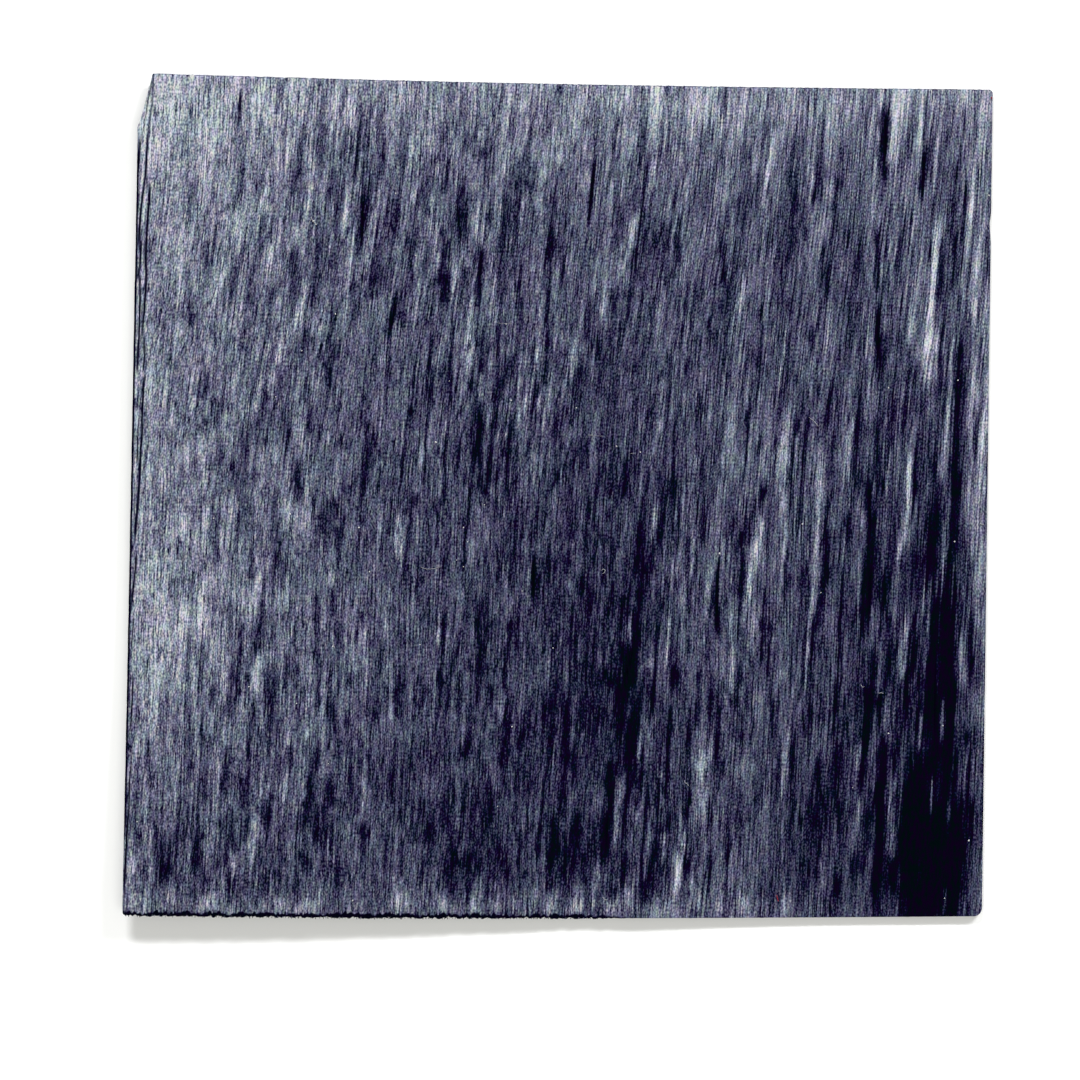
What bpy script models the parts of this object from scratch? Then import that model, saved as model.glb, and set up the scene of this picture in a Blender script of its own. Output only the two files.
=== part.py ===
"""Dyed wood veneer: one thin sheet of blue-black dyed wood, lying face up.

Blender works here in metres, +Z up. The grain runs along Y. The origin is under the middle of the
sheet, on the surface that it lies on. The sheet is flat over its middle and right, and curls up
towards the left edge, most at the bottom left corner. Splinters run down the left edge, a sliver
is broken from the top left corner, and the bottom edge is torn. Lengths below are in millimetres,
and the finished mesh is scaled to metres.
"""

import math
import random

import bmesh
import bpy
from mathutils import Matrix, Vector

METRES_PER_MM = 0.001

# Outline, as the corners of the flat sheet seen from above
THICKNESS = 0.6
BREAK_TOP = Vector((-48.5, 50.5))
BREAK_END = Vector((-50.2, 43.8))
BOTTOM_LEFT = Vector((-52.0, -50.0))
BOTTOM_RIGHT = Vector((50.7, -50.3))
TOP_RIGHT = Vector((52.0, 48.6))
CORNER_RADII = ((BOTTOM_LEFT, 0.5), (BOTTOM_RIGHT, 1.0), (TOP_RIGHT, 0.5))
ARC_SEGMENTS = 4
TOP_EDGE_BOW = -0.28
BOTTOM_EDGE_BOW = -0.36

# Grain, and the lines that the sheet is divided along
GRAIN_LEAN = math.atan2(BREAK_END.x - BOTTOM_LEFT.x, BREAK_END.y - BOTTOM_LEFT.y)
ACROSS_GRAIN = Vector((math.cos(GRAIN_LEAN), -math.sin(GRAIN_LEAN)))
COLUMN_SPACING = 3.2
ROW_SPACING = 2.4
RIM_WIDTH = 1.0
TORN_EDGE_CUTS = 3

# Curl: how high the underside lifts, and the line that it starts from
CURL_HEIGHT_TOP = 0.9
CURL_HEIGHT_BOTTOM = 1.6
CURL_START_TOP = -8.0
CURL_START_BOTTOM = 38.0
CURL_TURNS_BELOW = -10.0

# Splinters down the left edge, as distance from the edge and drop of the face below its full height
SPLINTER_PROFILE = ((0.0, 0.30), (0.35, 0.12), (0.55, 0.30), (0.75, 0.08), (1.0, 0.06), (1.2, 0.26), (1.45, 0.0))
SPLINTERS_FADE_FROM = 4.0
SPLINTERS_END = -11.0
PLAIN_EDGE_SHARE = 0.35

# Torn and cut edges
MIDDLE_HEIGHT = 0.33
TORN_UNTIL = 6.0
TORN_SLOPE = 0.45
CUT_SLOPE = 0.08
TORN_JITTER = 0.24
CUT_JITTER = 0.04
NICK_HEIGHT = 32.3
NICK_LENGTH = 1.6
NICK_DEPTH = 0.2
JITTER_SEED = 41

# Slits opened along the grain: middle x, middle y, length, lean in degrees
SLITS = (
    (-38.0, 46.3, 3.4, 2),
    (-24.0, 40.9, 5.9, 3),
    (-23.4, 33.1, 6.6, 2),
    (-19.7, 21.6, 4.9, 10),
    (-9.3, 26.2, 6.0, 2),
    (4.0, 36.2, 6.9, 6),
    (39.1, 42.7, 7.0, 1),
    (43.6, 38.7, 5.3, 3),
    (38.2, 18.6, 7.4, 1),
    (37.2, -1.6, 5.5, 1),
    (37.2, -11.6, 5.7, 1),
    (19.0, -11.8, 8.2, 2),
    (8.4, -20.4, 4.4, 14),
    (-3.0, -9.6, 4.4, 2),
    (5.7, -40.2, 4.0, 2),
    (45.0, -24.0, 9.0, 1),
)
SLIT_WIDTH = 0.42
SLIT_DEPTH = 0.26
SLIT_SIDES = 6
SLIT_RINGS = 8

WOOD_COLOUR = (0.062, 0.068, 0.108, 1.0)
WOOD_ROUGHNESS = 0.72


def ease(share):
    """0 below 0, 1 above 1, and a smooth rise between."""
    share = min(max(share, 0.0), 1.0)
    return (1.0 - math.cos(math.pi * share)) / 2.0


def from_left_edge(x, y):
    return ACROSS_GRAIN.dot(Vector((x, y)) - BOTTOM_LEFT)


def lift(x, y):
    """How high the underside is above the surface."""
    turn = ease((CURL_TURNS_BELOW - y) / (CURL_TURNS_BELOW - BOTTOM_LEFT.y))
    start = CURL_START_TOP + (CURL_START_BOTTOM - CURL_START_TOP) * turn
    height = CURL_HEIGHT_TOP + (CURL_HEIGHT_BOTTOM - CURL_HEIGHT_TOP) * turn
    return height * ease((start - x) / (start - BOTTOM_LEFT.x))


def splinter_drop(x, y):
    """How far the face is below its full height in the splintered strip."""
    distance = from_left_edge(x, y)
    if distance >= SPLINTER_PROFILE[-1][0]:
        return 0.0
    drop = 0.0
    for (near, near_drop), (far, far_drop) in zip(SPLINTER_PROFILE, SPLINTER_PROFILE[1:]):
        if distance <= far:
            drop = near_drop + (far_drop - near_drop) * (distance - near) / (far - near)
            break
    splintered = ease((y - SPLINTERS_END) / (SPLINTERS_FADE_FROM - SPLINTERS_END))
    plain = PLAIN_EDGE_SHARE * SPLINTER_PROFILE[0][1] * max(0.0, 1.0 - distance / SPLINTER_PROFILE[1][0])
    return splintered * drop + (1.0 - splintered) * plain


def flat_outline(bm):
    """The sheet as one flat face with its corners rounded."""
    corners = (BREAK_TOP, BREAK_END, BOTTOM_LEFT, BOTTOM_RIGHT, TOP_RIGHT)
    verts = [bm.verts.new(corner.to_3d()) for corner in corners]
    bm.faces.new(verts)
    rounded = {tuple(corner): radius for corner, radius in CORNER_RADII}
    for vert in verts:
        radius = rounded.get((vert.co.x, vert.co.y))
        if radius:
            bmesh.ops.bevel(
                bm, geom=[vert], offset=radius, offset_type="OFFSET", segments=ARC_SEGMENTS,
                profile=0.5, affect="VERTICES", material=-1,
            )


def divide(bm, first, last, spacing, extra, normal):
    """Cuts the flat face along parallel lines, evenly spaced, with extra ones where given."""
    count = round((last - first) / spacing)
    even = [first + (last - first) * step / count for step in range(1, count)]
    for offset in sorted(even + list(extra)):
        bmesh.ops.bisect_plane(
            bm, geom=bm.verts[:] + bm.edges[:] + bm.faces[:], dist=1e-5,
            plane_co=normal * offset, plane_no=normal,
        )


def divide_sheet(bm):
    across = ACROSS_GRAIN.to_3d()
    left = ACROSS_GRAIN.dot(BOTTOM_LEFT)
    right = ACROSS_GRAIN.dot(TOP_RIGHT)
    splinter_lines = [left + distance for distance, _ in SPLINTER_PROFILE[1:]]
    divide(bm, left, right, COLUMN_SPACING, splinter_lines + [right - RIM_WIDTH], across)
    rims = [BOTTOM_LEFT.y + RIM_WIDTH, TOP_RIGHT.y - RIM_WIDTH]
    divide(bm, BOTTOM_LEFT.y, BREAK_TOP.y, ROW_SPACING, rims, Vector((0.0, 1.0, 0.0)))


def side_of(x, y):
    """The direction inwards from the nearest edge, and whether that edge is torn."""
    top = BREAK_TOP.lerp(TOP_RIGHT, (x - BREAK_TOP.x) / (TOP_RIGHT.x - BREAK_TOP.x)).y
    right = BOTTOM_RIGHT.lerp(TOP_RIGHT, (y - BOTTOM_RIGHT.y) / (TOP_RIGHT.y - BOTTOM_RIGHT.y)).x
    gaps = {
        (0, 1): y - BOTTOM_LEFT.y,
        (0, -1): top - y,
        (1, 0): from_left_edge(x, y),
        (-1, 0): right - x,
    }
    inwards = min(gaps, key=gaps.get)
    return Vector((*inwards, 0.0)), inwards == (0, 1) and x < TORN_UNTIL


def fray(bm, rim):
    """Marks the rim, gives the bottom edge more points, and moves the rim unevenly in and out."""
    torn = [
        edge for edge in bm.edges
        if edge.is_boundary and max(vert.co.y for vert in edge.verts) < BOTTOM_LEFT.y + RIM_WIDTH / 2
    ]
    bmesh.ops.subdivide_edges(bm, edges=torn, cuts=TORN_EDGE_CUTS)
    chance = random.Random(JITTER_SEED)
    for vert in bm.verts:
        if not vert.is_boundary:
            continue
        vert[rim] = 1
        inwards, is_torn = side_of(vert.co.x, vert.co.y)
        vert.co += inwards * (TORN_JITTER if is_torn else CUT_JITTER) * chance.uniform(-0.2, 1.0)
        if inwards.x < 0:
            vert.co += inwards * NICK_DEPTH * max(0.0, 1.0 - abs(vert.co.y - NICK_HEIGHT) / NICK_LENGTH)


def bow(bm):
    """Bends the top and bottom edges as the real ones are bent, fading towards the middle."""
    for vert in bm.verts:
        share = (vert.co.x - BOTTOM_LEFT.x) / (TOP_RIGHT.x - BOTTOM_LEFT.x)
        bend = TOP_EDGE_BOW if vert.co.y > 0 else BOTTOM_EDGE_BOW
        near_edge = ease(2 * abs(vert.co.y) / (BREAK_TOP.y - BOTTOM_LEFT.y))
        vert.co.y += bend * math.sin(math.pi * share) * near_edge


def thicken(bm, rim):
    """Extrudes the face, gives the wall a line where the torn slope starts, and shapes the upper rim."""
    grown = bmesh.ops.extrude_face_region(bm, geom=bm.faces[:])["geom"]
    upper = [part for part in grown if isinstance(part, bmesh.types.BMVert)]
    bmesh.ops.translate(bm, verts=upper, vec=(0.0, 0.0, THICKNESS))
    bmesh.ops.bisect_plane(
        bm, geom=bm.verts[:] + bm.edges[:] + bm.faces[:], dist=1e-5,
        plane_co=(0.0, 0.0, MIDDLE_HEIGHT), plane_no=(0.0, 0.0, 1.0),
    )
    chance = random.Random(JITTER_SEED + 1)
    for vert in upper:
        if vert[rim]:
            inwards, is_torn = side_of(vert.co.x, vert.co.y)
            vert.co += inwards * (TORN_SLOPE if is_torn else CUT_SLOPE) * chance.uniform(0.3, 1.0)
        vert.co.z -= splinter_drop(vert.co.x, vert.co.y)


def curl(bm):
    for vert in bm.verts:
        vert.co.z += lift(vert.co.x, vert.co.y)


def centre(bm):
    """Puts the middle of the sheet's box over the origin, and returns the shift."""
    lows = [min(vert.co[axis] for vert in bm.verts) for axis in (0, 1)]
    highs = [max(vert.co[axis] for vert in bm.verts) for axis in (0, 1)]
    shift = Vector((-(lows[0] + highs[0]) / 2, -(lows[1] + highs[1]) / 2, 0.0))
    bmesh.ops.translate(bm, verts=bm.verts, vec=shift)
    return shift


def mesh_object(bm, name):
    bmesh.ops.recalc_face_normals(bm, faces=bm.faces)
    bmesh.ops.scale(bm, verts=bm.verts, vec=(METRES_PER_MM,) * 3)
    mesh = bpy.data.meshes.new(name)
    bm.to_mesh(mesh)
    bm.free()
    made = bpy.data.objects.new(name, mesh)
    bpy.context.scene.collection.objects.link(made)
    return made


def veneer_sheet():
    bm = bmesh.new()
    rim = bm.verts.layers.int.new("rim")
    flat_outline(bm)
    divide_sheet(bm)
    fray(bm, rim)
    bow(bm)
    thicken(bm, rim)
    curl(bm)
    shift = centre(bm)
    bmesh.ops.triangulate(bm, faces=bm.faces)
    return mesh_object(bm, "veneer_sheet"), shift


def slit_cutter(shift):
    """Spindles lying in the face along the grain, which cut the slits."""
    bm = bmesh.new()
    for x, y, length, lean in SLITS:
        place = Matrix.Translation(Vector((x, y, lift(x, y) + THICKNESS)) + shift)
        turn = Matrix.Rotation(-math.radians(lean), 4, "Z")
        size = Matrix.Diagonal((SLIT_WIDTH / 2, length / 2, SLIT_DEPTH, 1.0))
        lay_down = Matrix.Rotation(math.pi / 2, 4, "X")
        bmesh.ops.create_uvsphere(
            bm, u_segments=SLIT_SIDES, v_segments=SLIT_RINGS, radius=1.0,
            matrix=place @ turn @ size @ lay_down,
        )
    cutter = mesh_object(bm, "slit_cutter")
    cutter.hide_render = True
    cutter.display_type = "WIRE"
    return cutter


def dyed_wood():
    material = bpy.data.materials.new("dyed_wood")
    material.use_nodes = True
    shader = material.node_tree.nodes["Principled BSDF"]
    shader.inputs["Base Color"].default_value = WOOD_COLOUR
    shader.inputs["Roughness"].default_value = WOOD_ROUGHNESS
    shader.inputs["Metallic"].default_value = 0.0
    return material


def main():
    for old in list(bpy.context.scene.objects):
        bpy.data.objects.remove(old)
    sheet, shift = veneer_sheet()
    sheet.data.materials.append(dyed_wood())
    slits = sheet.modifiers.new("slits", "BOOLEAN")
    slits.operation = "DIFFERENCE"
    slits.object = slit_cutter(shift)


main()
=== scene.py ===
import math
import random

import bmesh
import bpy
import numpy as np
from mathutils import Matrix, Vector, noise


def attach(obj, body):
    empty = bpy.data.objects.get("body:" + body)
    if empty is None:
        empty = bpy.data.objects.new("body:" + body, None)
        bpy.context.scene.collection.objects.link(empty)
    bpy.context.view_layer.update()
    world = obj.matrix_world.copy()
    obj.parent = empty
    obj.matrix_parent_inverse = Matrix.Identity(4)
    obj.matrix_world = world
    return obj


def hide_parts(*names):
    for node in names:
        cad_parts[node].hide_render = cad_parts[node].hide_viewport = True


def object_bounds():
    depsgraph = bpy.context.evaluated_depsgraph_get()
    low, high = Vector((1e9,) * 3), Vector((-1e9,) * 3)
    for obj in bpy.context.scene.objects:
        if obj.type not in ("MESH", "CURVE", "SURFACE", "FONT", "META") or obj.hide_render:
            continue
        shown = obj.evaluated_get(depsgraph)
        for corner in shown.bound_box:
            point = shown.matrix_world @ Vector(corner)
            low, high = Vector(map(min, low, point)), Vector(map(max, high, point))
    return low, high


# Dyed wood veneer: one thin sheet of blue-black wood that lies with its sanded face up
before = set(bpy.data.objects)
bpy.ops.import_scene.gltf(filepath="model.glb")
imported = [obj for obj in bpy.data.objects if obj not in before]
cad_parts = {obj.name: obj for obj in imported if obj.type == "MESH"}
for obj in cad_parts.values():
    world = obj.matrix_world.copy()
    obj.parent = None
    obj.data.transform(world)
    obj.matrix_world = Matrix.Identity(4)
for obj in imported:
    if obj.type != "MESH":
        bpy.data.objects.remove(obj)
cadLow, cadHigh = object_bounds()
mm = 0.001

# The sheet, in millimetres: the grain runs along y, and the corners are those of the flat outline
sheet = {
    "thickness": 0.6,
    "breakTop": (-48.5, 50.5),
    "breakEnd": (-50.2, 43.8),
    "bottomLeft": (-52.0, -50.12),
    "bottomRight": (50.7, -50.3),
    "topRight": (52.0, 48.6),
    "topBow": -0.28,
    "bottomBow": -0.3,
    "cornerRadii": {"bottomLeft": 0.5, "bottomRight": 1.0, "topRight": 0.5},
    "columns": 680,
    "rows": 116,
    "undersideShare": 4,      # one underside square stands under this many columns and rows of the face
    "undersideInset": 0.012,
    "fineStrip": 1.7,         # closely divided strip down the splintered edge
    "fineStripShare": 0.04,
    "fineEnds": 2.0,          # closely divided bands along the two ends
    "fineEndsShare": 0.12,
    "wallSteps": 3,
    "curlTop": 0.9,
    "curlBottom": 1.6,
    "curlStartTop": -8.0,
    "curlStartBottom": 38.0,
    "curlTurnsBelow": -10.0,
}
sheetWidth = sheet["topRight"][0] - sheet["bottomLeft"][0]
sheetHeight = sheet["breakTop"][1] - sheet["bottomLeft"][1]

# Slits opened along the grain, cut into the face and darkened with painted shade: middle x, middle y,
# length, lean in degrees
slits = (
    (-38.0, 46.3, 3.4, 2), (-24.0, 40.9, 5.9, 3), (-23.4, 33.1, 6.6, 2), (-19.7, 21.6, 4.9, 10),
    (-9.3, 26.2, 6.0, 2), (4.0, 36.2, 6.9, 6), (39.1, 42.7, 7.0, 1), (43.6, 38.7, 5.3, 3),
    (38.2, 18.6, 7.4, 1), (37.2, -1.6, 5.5, 1), (37.2, -11.6, 5.7, 1), (19.0, -11.8, 8.2, 2),
    (8.4, -20.4, 4.4, 14), (-3.0, -9.6, 4.4, 2), (5.7, -40.2, 4.0, 2), (45.0, -24.0, 9.0, 1),
)
slitWidth = 0.34
slitDepth = 0.24

# Broad paler and darker areas: middle x, middle y, half width, half height, change of tone
areas = (
    (-56, 8, 17, 42, 0.22), (-34, 0, 10, 40, 0.06), (-46, 44, 14, 12, 0.12), (0, 52, 90, 11, 0.22),
    (43, 30, 7, 12, 0.06), (51.5, 8, 2.5, 50, 0.1), (7, -20, 8, 26, -0.13), (-6, -24, 9, 24, -0.07),
    (19.5, -25, 5, 30, 0.02), (31, -36, 9, 26, -0.09), (46, -34, 9, 32, -0.2), (44, -46, 7, 9, -0.05),
    (-20, -36, 14, 14, -0.03), (-8, -50.5, 40, 2.4, 0.12), (-36, 36, 13, 12, 0.06), (5, 44, 30, 8, 0.035),
    (-47, -14, 6, 12, 0.12), (-10, -44, 13, 8, -0.06), (38, -8, 10, 6, -0.04), (6, -32, 7, 6, -0.03),
    (6, 5, 6, 6, -0.03), (-24, 24, 14, 12, 0.03), (-43, 30, 6, 6, 0.04), (-43, -14, 8, 8, 0.045),
    (-26, -19, 8, 5, 0.03), (-6, 28, 6, 6, 0.03), (46, 48, 9, 3, 0.07), (44, -8, 6, 6, -0.025),
    (44, -31, 6, 5, -0.025), (-43, 17, 6, 6, 0.02), (-36, -20, 14, 6, 0.02), (-49.6, 32, 1.2, 18, 0.1),
    (-48.8, 45.5, 1.4, 4.5, 0.12), (-50.6, -45, 1.6, 6, 0.08), (-42, -49.2, 12, 1.8, 0.06),
    (-46.4, -43.5, 2.4, 3.6, -0.05), (4, 24, 16, 24, 0.012), (24, 24, 5, 16, 0.012),
    (-45.5, -15, 3, 3.5, 0.04), (-48.8, -25, 2, 5.5, 0.06),
)

# Marks of the grain: middle x, middle y, length, width, and hundredths of tone
darkMarks = (
    (-44.3, 49.5, 2, 0.6, 22), (-43.7, 46.5, 3, 0.5, 20), (-43.9, 46, 1.6, 0.3, 28),
    (-45, 41.8, 1.8, 1, 22), (-43.2, 42.5, 5, 0.4, 20), (-40.6, 46.5, 2, 0.6, 16), (-40, 42.5, 5, 0.3, 22),
    (-37.8, 48.5, 4, 0.35, 36), (-38, 46.5, 3, 0.35, 34), (-38.4, 44.5, 4, 1.2, 24),
    (-38.8, 47.5, 3, 0.8, 16), (-37.8, 40.5, 4, 1.2, 30), (-37.9, 38, 3, 1.4, 26),
    (-37.6, 36.5, 2, 0.9, 26), (-35.5, 45, 4, 0.4, 20), (-35.6, 43, 3, 0.3, 20), (-34.4, 42, 2, 0.3, 20),
    (-32.3, 46.5, 4, 0.3, 20), (-32.6, 43.5, 2, 0.5, 34), (-32.9, 41.8, 2.4, 0.35, 24),
    (-29.6, 47.5, 2.6, 0.3, 24), (-27.7, 47.8, 1.6, 0.4, 26), (-28.3, 45.5, 4, 1, 20),
    (-28.2, 42.5, 4, 1.2, 28), (-29, 43, 3, 0.5, 26), (-28.4, 40.5, 3, 1.6, 22), (-30.4, 43, 3, 0.9, 22),
    (-31, 41, 3, 1, 16), (-36, 39.5, 1.6, 0.8, 22), (-35.7, 39, 2.4, 0.5, 26), (-35.3, 37, 3, 0.4, 22),
    (-35.8, 35.3, 1.6, 0.5, 26), (-33.8, 39.5, 3, 0.4, 20), (-31.3, 38.5, 3, 1, 26),
    (-31, 37.5, 4, 1.6, 20), (-31, 34, 3, 1.2, 26), (-30.8, 33, 1.6, 1, 26), (-27, 37, 3, 0.9, 26),
    (-26.3, 36.5, 4, 0.7, 28), (-26.3, 33, 6, 0.8, 28), (-26.3, 29, 4, 0.5, 22), (-28, 33, 3, 1.2, 20),
    (-28.5, 31, 3, 1.2, 28), (-29.1, 34, 2, 0.4, 24), (-41, 38, 5, 0.6, 16), (-43.6, 36, 3, 0.6, 22),
    (-43.9, 34.5, 3, 0.6, 26), (-40.7, 35.2, 1.6, 1, 34), (-38.6, 35, 3, 0.5, 22), (-40.8, 33, 3, 0.35, 30),
    (-40.9, 31, 2.4, 0.5, 26), (-43.2, 32, 5, 0.3, 22), (-47, 31.5, 2.4, 0.5, 18), (-43, 30.5, 2, 0.4, 26),
    (-42.2, 29.5, 2.6, 0.7, 30), (-43.4, 28.5, 2.4, 0.5, 22), (-44.5, 27, 1.6, 0.6, 30),
    (-44.3, 26, 2, 0.8, 26), (-42, 28, 2, 0.7, 26), (-41.5, 26.7, 2, 0.6, 24), (-47.3, 26.8, 1.6, 0.3, 26),
    (-37.5, 29.3, 1.6, 0.5, 26), (-37.8, 27.8, 1.6, 0.6, 26), (-38.8, 26.8, 3, 1.2, 26),
    (-38.9, 25.5, 2, 1, 28), (-36.6, 26.5, 2.4, 1.2, 30), (-35, 26.7, 1.6, 0.5, 24),
    (-34.2, 31.5, 1.8, 1, 24), (-35.5, 31.5, 3, 0.7, 22), (-31.5, 28.4, 1.6, 1.2, 34),
    (-31.5, 26.8, 2.4, 1.2, 28), (-28.8, 27.5, 2.6, 0.4, 34), (-28.5, 29.5, 3, 0.6, 20),
    (-44, 24.3, 2.6, 0.8, 32), (-43.9, 22.5, 2, 0.8, 30), (-43.9, 21.2, 1.6, 0.7, 26),
    (-43.7, 20.4, 1.6, 0.4, 28), (-47.5, 23.8, 1.6, 0.3, 26), (-42, 25, 2, 0.6, 20),
    (-39.9, 24.5, 2, 0.9, 24), (-40, 22.8, 2, 0.7, 24), (-38.8, 24.5, 2.4, 1, 24),
    (-36.8, 24, 2.4, 1.2, 30), (-36.3, 23.3, 1.6, 0.8, 26), (-34.2, 24.3, 1.6, 0.8, 28),
    (-31.4, 24.8, 3.4, 1.6, 28), (-31.6, 22.6, 1.6, 0.7, 26), (-29.2, 25, 2.4, 1, 26),
    (-29.4, 23.2, 2.4, 0.5, 26), (-37.2, 21.5, 3, 0.5, 22), (-42.7, 18.8, 2, 0.9, 22),
    (-41.2, 19, 1.6, 0.8, 24), (-39.4, 18.8, 2, 0.7, 26), (-46.4, 16.9, 1.8, 0.7, 26),
    (-35, 18.8, 1.6, 0.7, 28), (-35.3, 17.5, 3, 0.3, 24), (-42.3, 15, 2.4, 0.5, 32),
    (-42.2, 13.6, 2.6, 1.1, 34), (-40, 15, 4, 0.6, 16), (-37.4, 15.5, 4, 0.5, 20), (-36, 13.5, 4, 0.3, 28),
    (-38, 13, 4, 0.4, 20), (-34.9, 11.5, 3, 0.7, 20), (-34.6, 9, 4, 1, 20), (-33.1, 14.2, 1.6, 0.9, 24),
    (-30.2, 19.5, 2, 0.5, 26), (-30.5, 16.5, 4, 0.35, 22), (-29.9, 18.5, 3, 1, 18),
    (-26.9, 20.3, 3, 0.5, 28), (-27.3, 18.6, 1.8, 0.5, 22), (-26.6, 17, 2, 1, 20),
    (-27.4, 16, 2.6, 0.8, 26), (-27.5, 14.5, 2, 0.8, 28), (-27.1, 13.8, 1.6, 0.4, 28),
    (-30.2, 13.2, 2.4, 0.8, 24), (-30, 11.9, 1.8, 0.8, 30), (-29.5, 10.3, 1.6, 0.9, 26),
    (-29.8, 9, 1.8, 0.4, 36), (-29.8, 7.5, 2.4, 0.3, 26), (-28, 10, 3, 0.5, 20), (-28.6, 7, 3, 0.5, 22),
    (-40.5, 10.9, 1.6, 1.2, 28), (-39.6, 11.5, 1.6, 1, 22), (-42.9, 11.5, 2.4, 0.3, 26),
    (-41, 9, 2, 0.6, 20), (-40.8, 8.3, 2, 0.3, 26), (-42, 8, 2, 0.8, 18), (-38, 8.5, 2, 0.7, 18),
    (-37.5, 7, 4, 1.6, 24), (-35.5, 8, 4, 1.8, 20), (-33, 8, 4, 1, 20), (-32.1, 8.3, 3, 1, 24),
    (-32.3, 6.3, 2.4, 0.5, 26), (-44.9, 2.5, 3, 0.7, 20), (-43.5, 3.5, 3, 0.5, 20), (-42.8, 4, 2, 0.6, 20),
    (-40.4, 5, 3, 0.7, 20), (-41.2, 3, 3, 0.4, 22), (-38.8, 3.5, 2, 0.8, 24), (-37.5, 4, 3.4, 1.2, 26),
    (-36.2, 3, 2.4, 1.4, 30), (-37.8, 1.7, 1.6, 1.2, 30), (-32.5, 4.5, 3, 0.6, 18),
    (-31.2, 3.2, 2, 0.7, 22), (-26.3, 10, 5, 0.4, 18), (-26, 6, 2, 0.3, 26), (-30.9, 1, 1.6, 1.2, 24),
    (-41, 1, 2, 0.3, 26), (-48, 1, 2, 0.3, 24), (-45.8, 5, 6, 0.3, 14), (-46.1, 0, 3, 0.5, 18),
    (-40.9, 0, 2.4, 0.3, 26), (-37.8, 0.5, 3, 1.2, 30), (-37.7, -2, 3.4, 0.9, 30),
    (-38, -4.5, 2.4, 0.6, 24), (-36.7, -4, 3.4, 0.4, 22), (-31, 0.5, 1.6, 0.9, 32), (-29.2, -1, 4, 0.4, 24),
    (-26.6, -2, 2, 0.9, 28), (-26.3, -4.6, 1.8, 1.4, 36), (-26.2, -7, 3, 0.5, 26), (-27.8, -3, 4, 1.6, 20),
    (-28.8, -5.5, 3, 0.5, 22), (-34, -1.5, 3, 0.5, 22), (-33.7, -4, 3.4, 0.9, 24), (-32.8, -5, 3, 0.4, 20),
    (-40.6, -2.7, 1.8, 1, 24), (-40.8, -5, 3, 0.5, 26), (-40.7, -7, 3, 0.6, 34), (-43.8, -5.5, 3, 0.35, 28),
    (-44.7, -7.5, 3, 0.35, 28), (-45.7, -10, 2, 0.35, 28), (-43.5, -9, 3, 0.3, 18),
    (-43.4, -2.5, 3, 0.4, 18), (-45.2, -6.5, 2, 0.6, 16), (-43.9, -10.5, 1.8, 1, 20),
    (-45.8, -11, 2, 2, 16), (-41.4, -8, 3, 0.35, 16), (-36.6, -7.5, 3, 0.8, 20), (-36.6, -9.5, 2, 0.4, 26),
    (-33.6, -6.8, 2.4, 1, 24), (-33.8, -9, 2.4, 0.4, 34), (-33.1, -8.5, 3, 0.4, 24),
    (-32.6, -7.8, 2, 0.6, 22), (-31.2, -10.5, 3, 0.5, 22), (-32.9, -10, 2, 0.4, 26),
    (-35, -10.5, 2.4, 0.4, 22), (-35.2, -13.3, 2.4, 0.5, 32), (-35.5, -15.5, 1.8, 1, 22),
    (-34, -16, 3, 0.8, 28), (-35.4, -18, 2.4, 0.5, 26), (-36.2, -17.5, 3, 1.2, 24),
    (-36.3, -19, 1.6, 0.6, 26), (-43.6, -13, 2, 0.3, 26), (-43.7, -15, 3, 0.3, 26),
    (-44.2, -17.5, 3, 0.6, 30), (-44.1, -20, 4, 0.6, 32), (-44.2, -23.5, 4, 0.45, 34),
    (-42.5, -17.5, 2.4, 0.5, 28), (-42.5, -19, 3, 0.7, 24), (-42.6, -21.5, 4, 0.9, 24),
    (-42.7, -22.7, 1.8, 0.6, 24), (-41.2, -15, 3, 0.4, 26), (-41.5, -17, 2, 0.35, 22),
    (-41.9, -19, 3, 0.25, 30), (-41.2, -23.5, 1.6, 1, 24), (-39.2, -14, 2.4, 0.6, 22),
    (-39.2, -16.5, 3, 0.5, 18), (-38, -15.5, 3, 1, 20), (-37.7, -17.5, 3, 0.4, 28), (-38, -20, 4, 0.4, 28),
    (-38.6, -20.5, 3, 1.2, 22), (-38.8, -23, 3.6, 1.2, 32), (-38.2, -22.8, 2, 0.9, 28),
    (-37, -21.5, 3, 0.5, 20), (-34.5, -21.5, 2.4, 0.9, 28), (-34.4, -23.5, 3, 1.4, 26),
    (-34, -22.5, 3, 0.5, 28), (-34, -24.3, 2, 0.5, 34), (-32.2, -20.3, 1.8, 0.6, 34),
    (-31.6, -21, 2, 1, 24), (-32.6, -22.5, 3, 0.6, 18), (-31.5, -17, 3, 0.4, 22),
    (-28.7, -14.5, 2, 0.9, 30), (-28.7, -13, 2, 0.6, 26), (-28.7, -17.5, 2.4, 0.7, 26),
    (-28.7, -19.5, 2, 0.5, 34), (-28.6, -22, 3, 0.7, 32), (-28.5, -24.3, 2, 0.5, 26),
    (-27.5, -20, 4, 0.4, 20), (-26.3, -16.5, 3, 0.8, 24), (-26.4, -19.5, 3, 0.6, 26),
    (-26.2, -22.5, 3, 0.6, 20), (-26.8, -12.5, 3, 0.6, 18), (-49.4, -13.5, 4, 0.25, 14),
    (-49.3, -16.5, 2, 0.3, 16), (-46.2, -15.9, 1.6, 0.4, 20), (-46.7, -26, 4, 0.3, 30),
    (-46.9, -28.3, 2, 0.35, 28), (-44, -26.5, 4, 0.6, 16), (-42.4, -26.5, 2, 0.5, 26),
    (-42.6, -28.5, 3, 0.35, 22), (-41.5, -24.8, 2, 0.3, 26), (-39.2, -25.5, 2.4, 1.2, 24),
    (-39.6, -31.5, 3, 0.7, 22), (-39.8, -33, 2, 0.35, 26), (-39.7, -33.7, 1.8, 1, 36),
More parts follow.
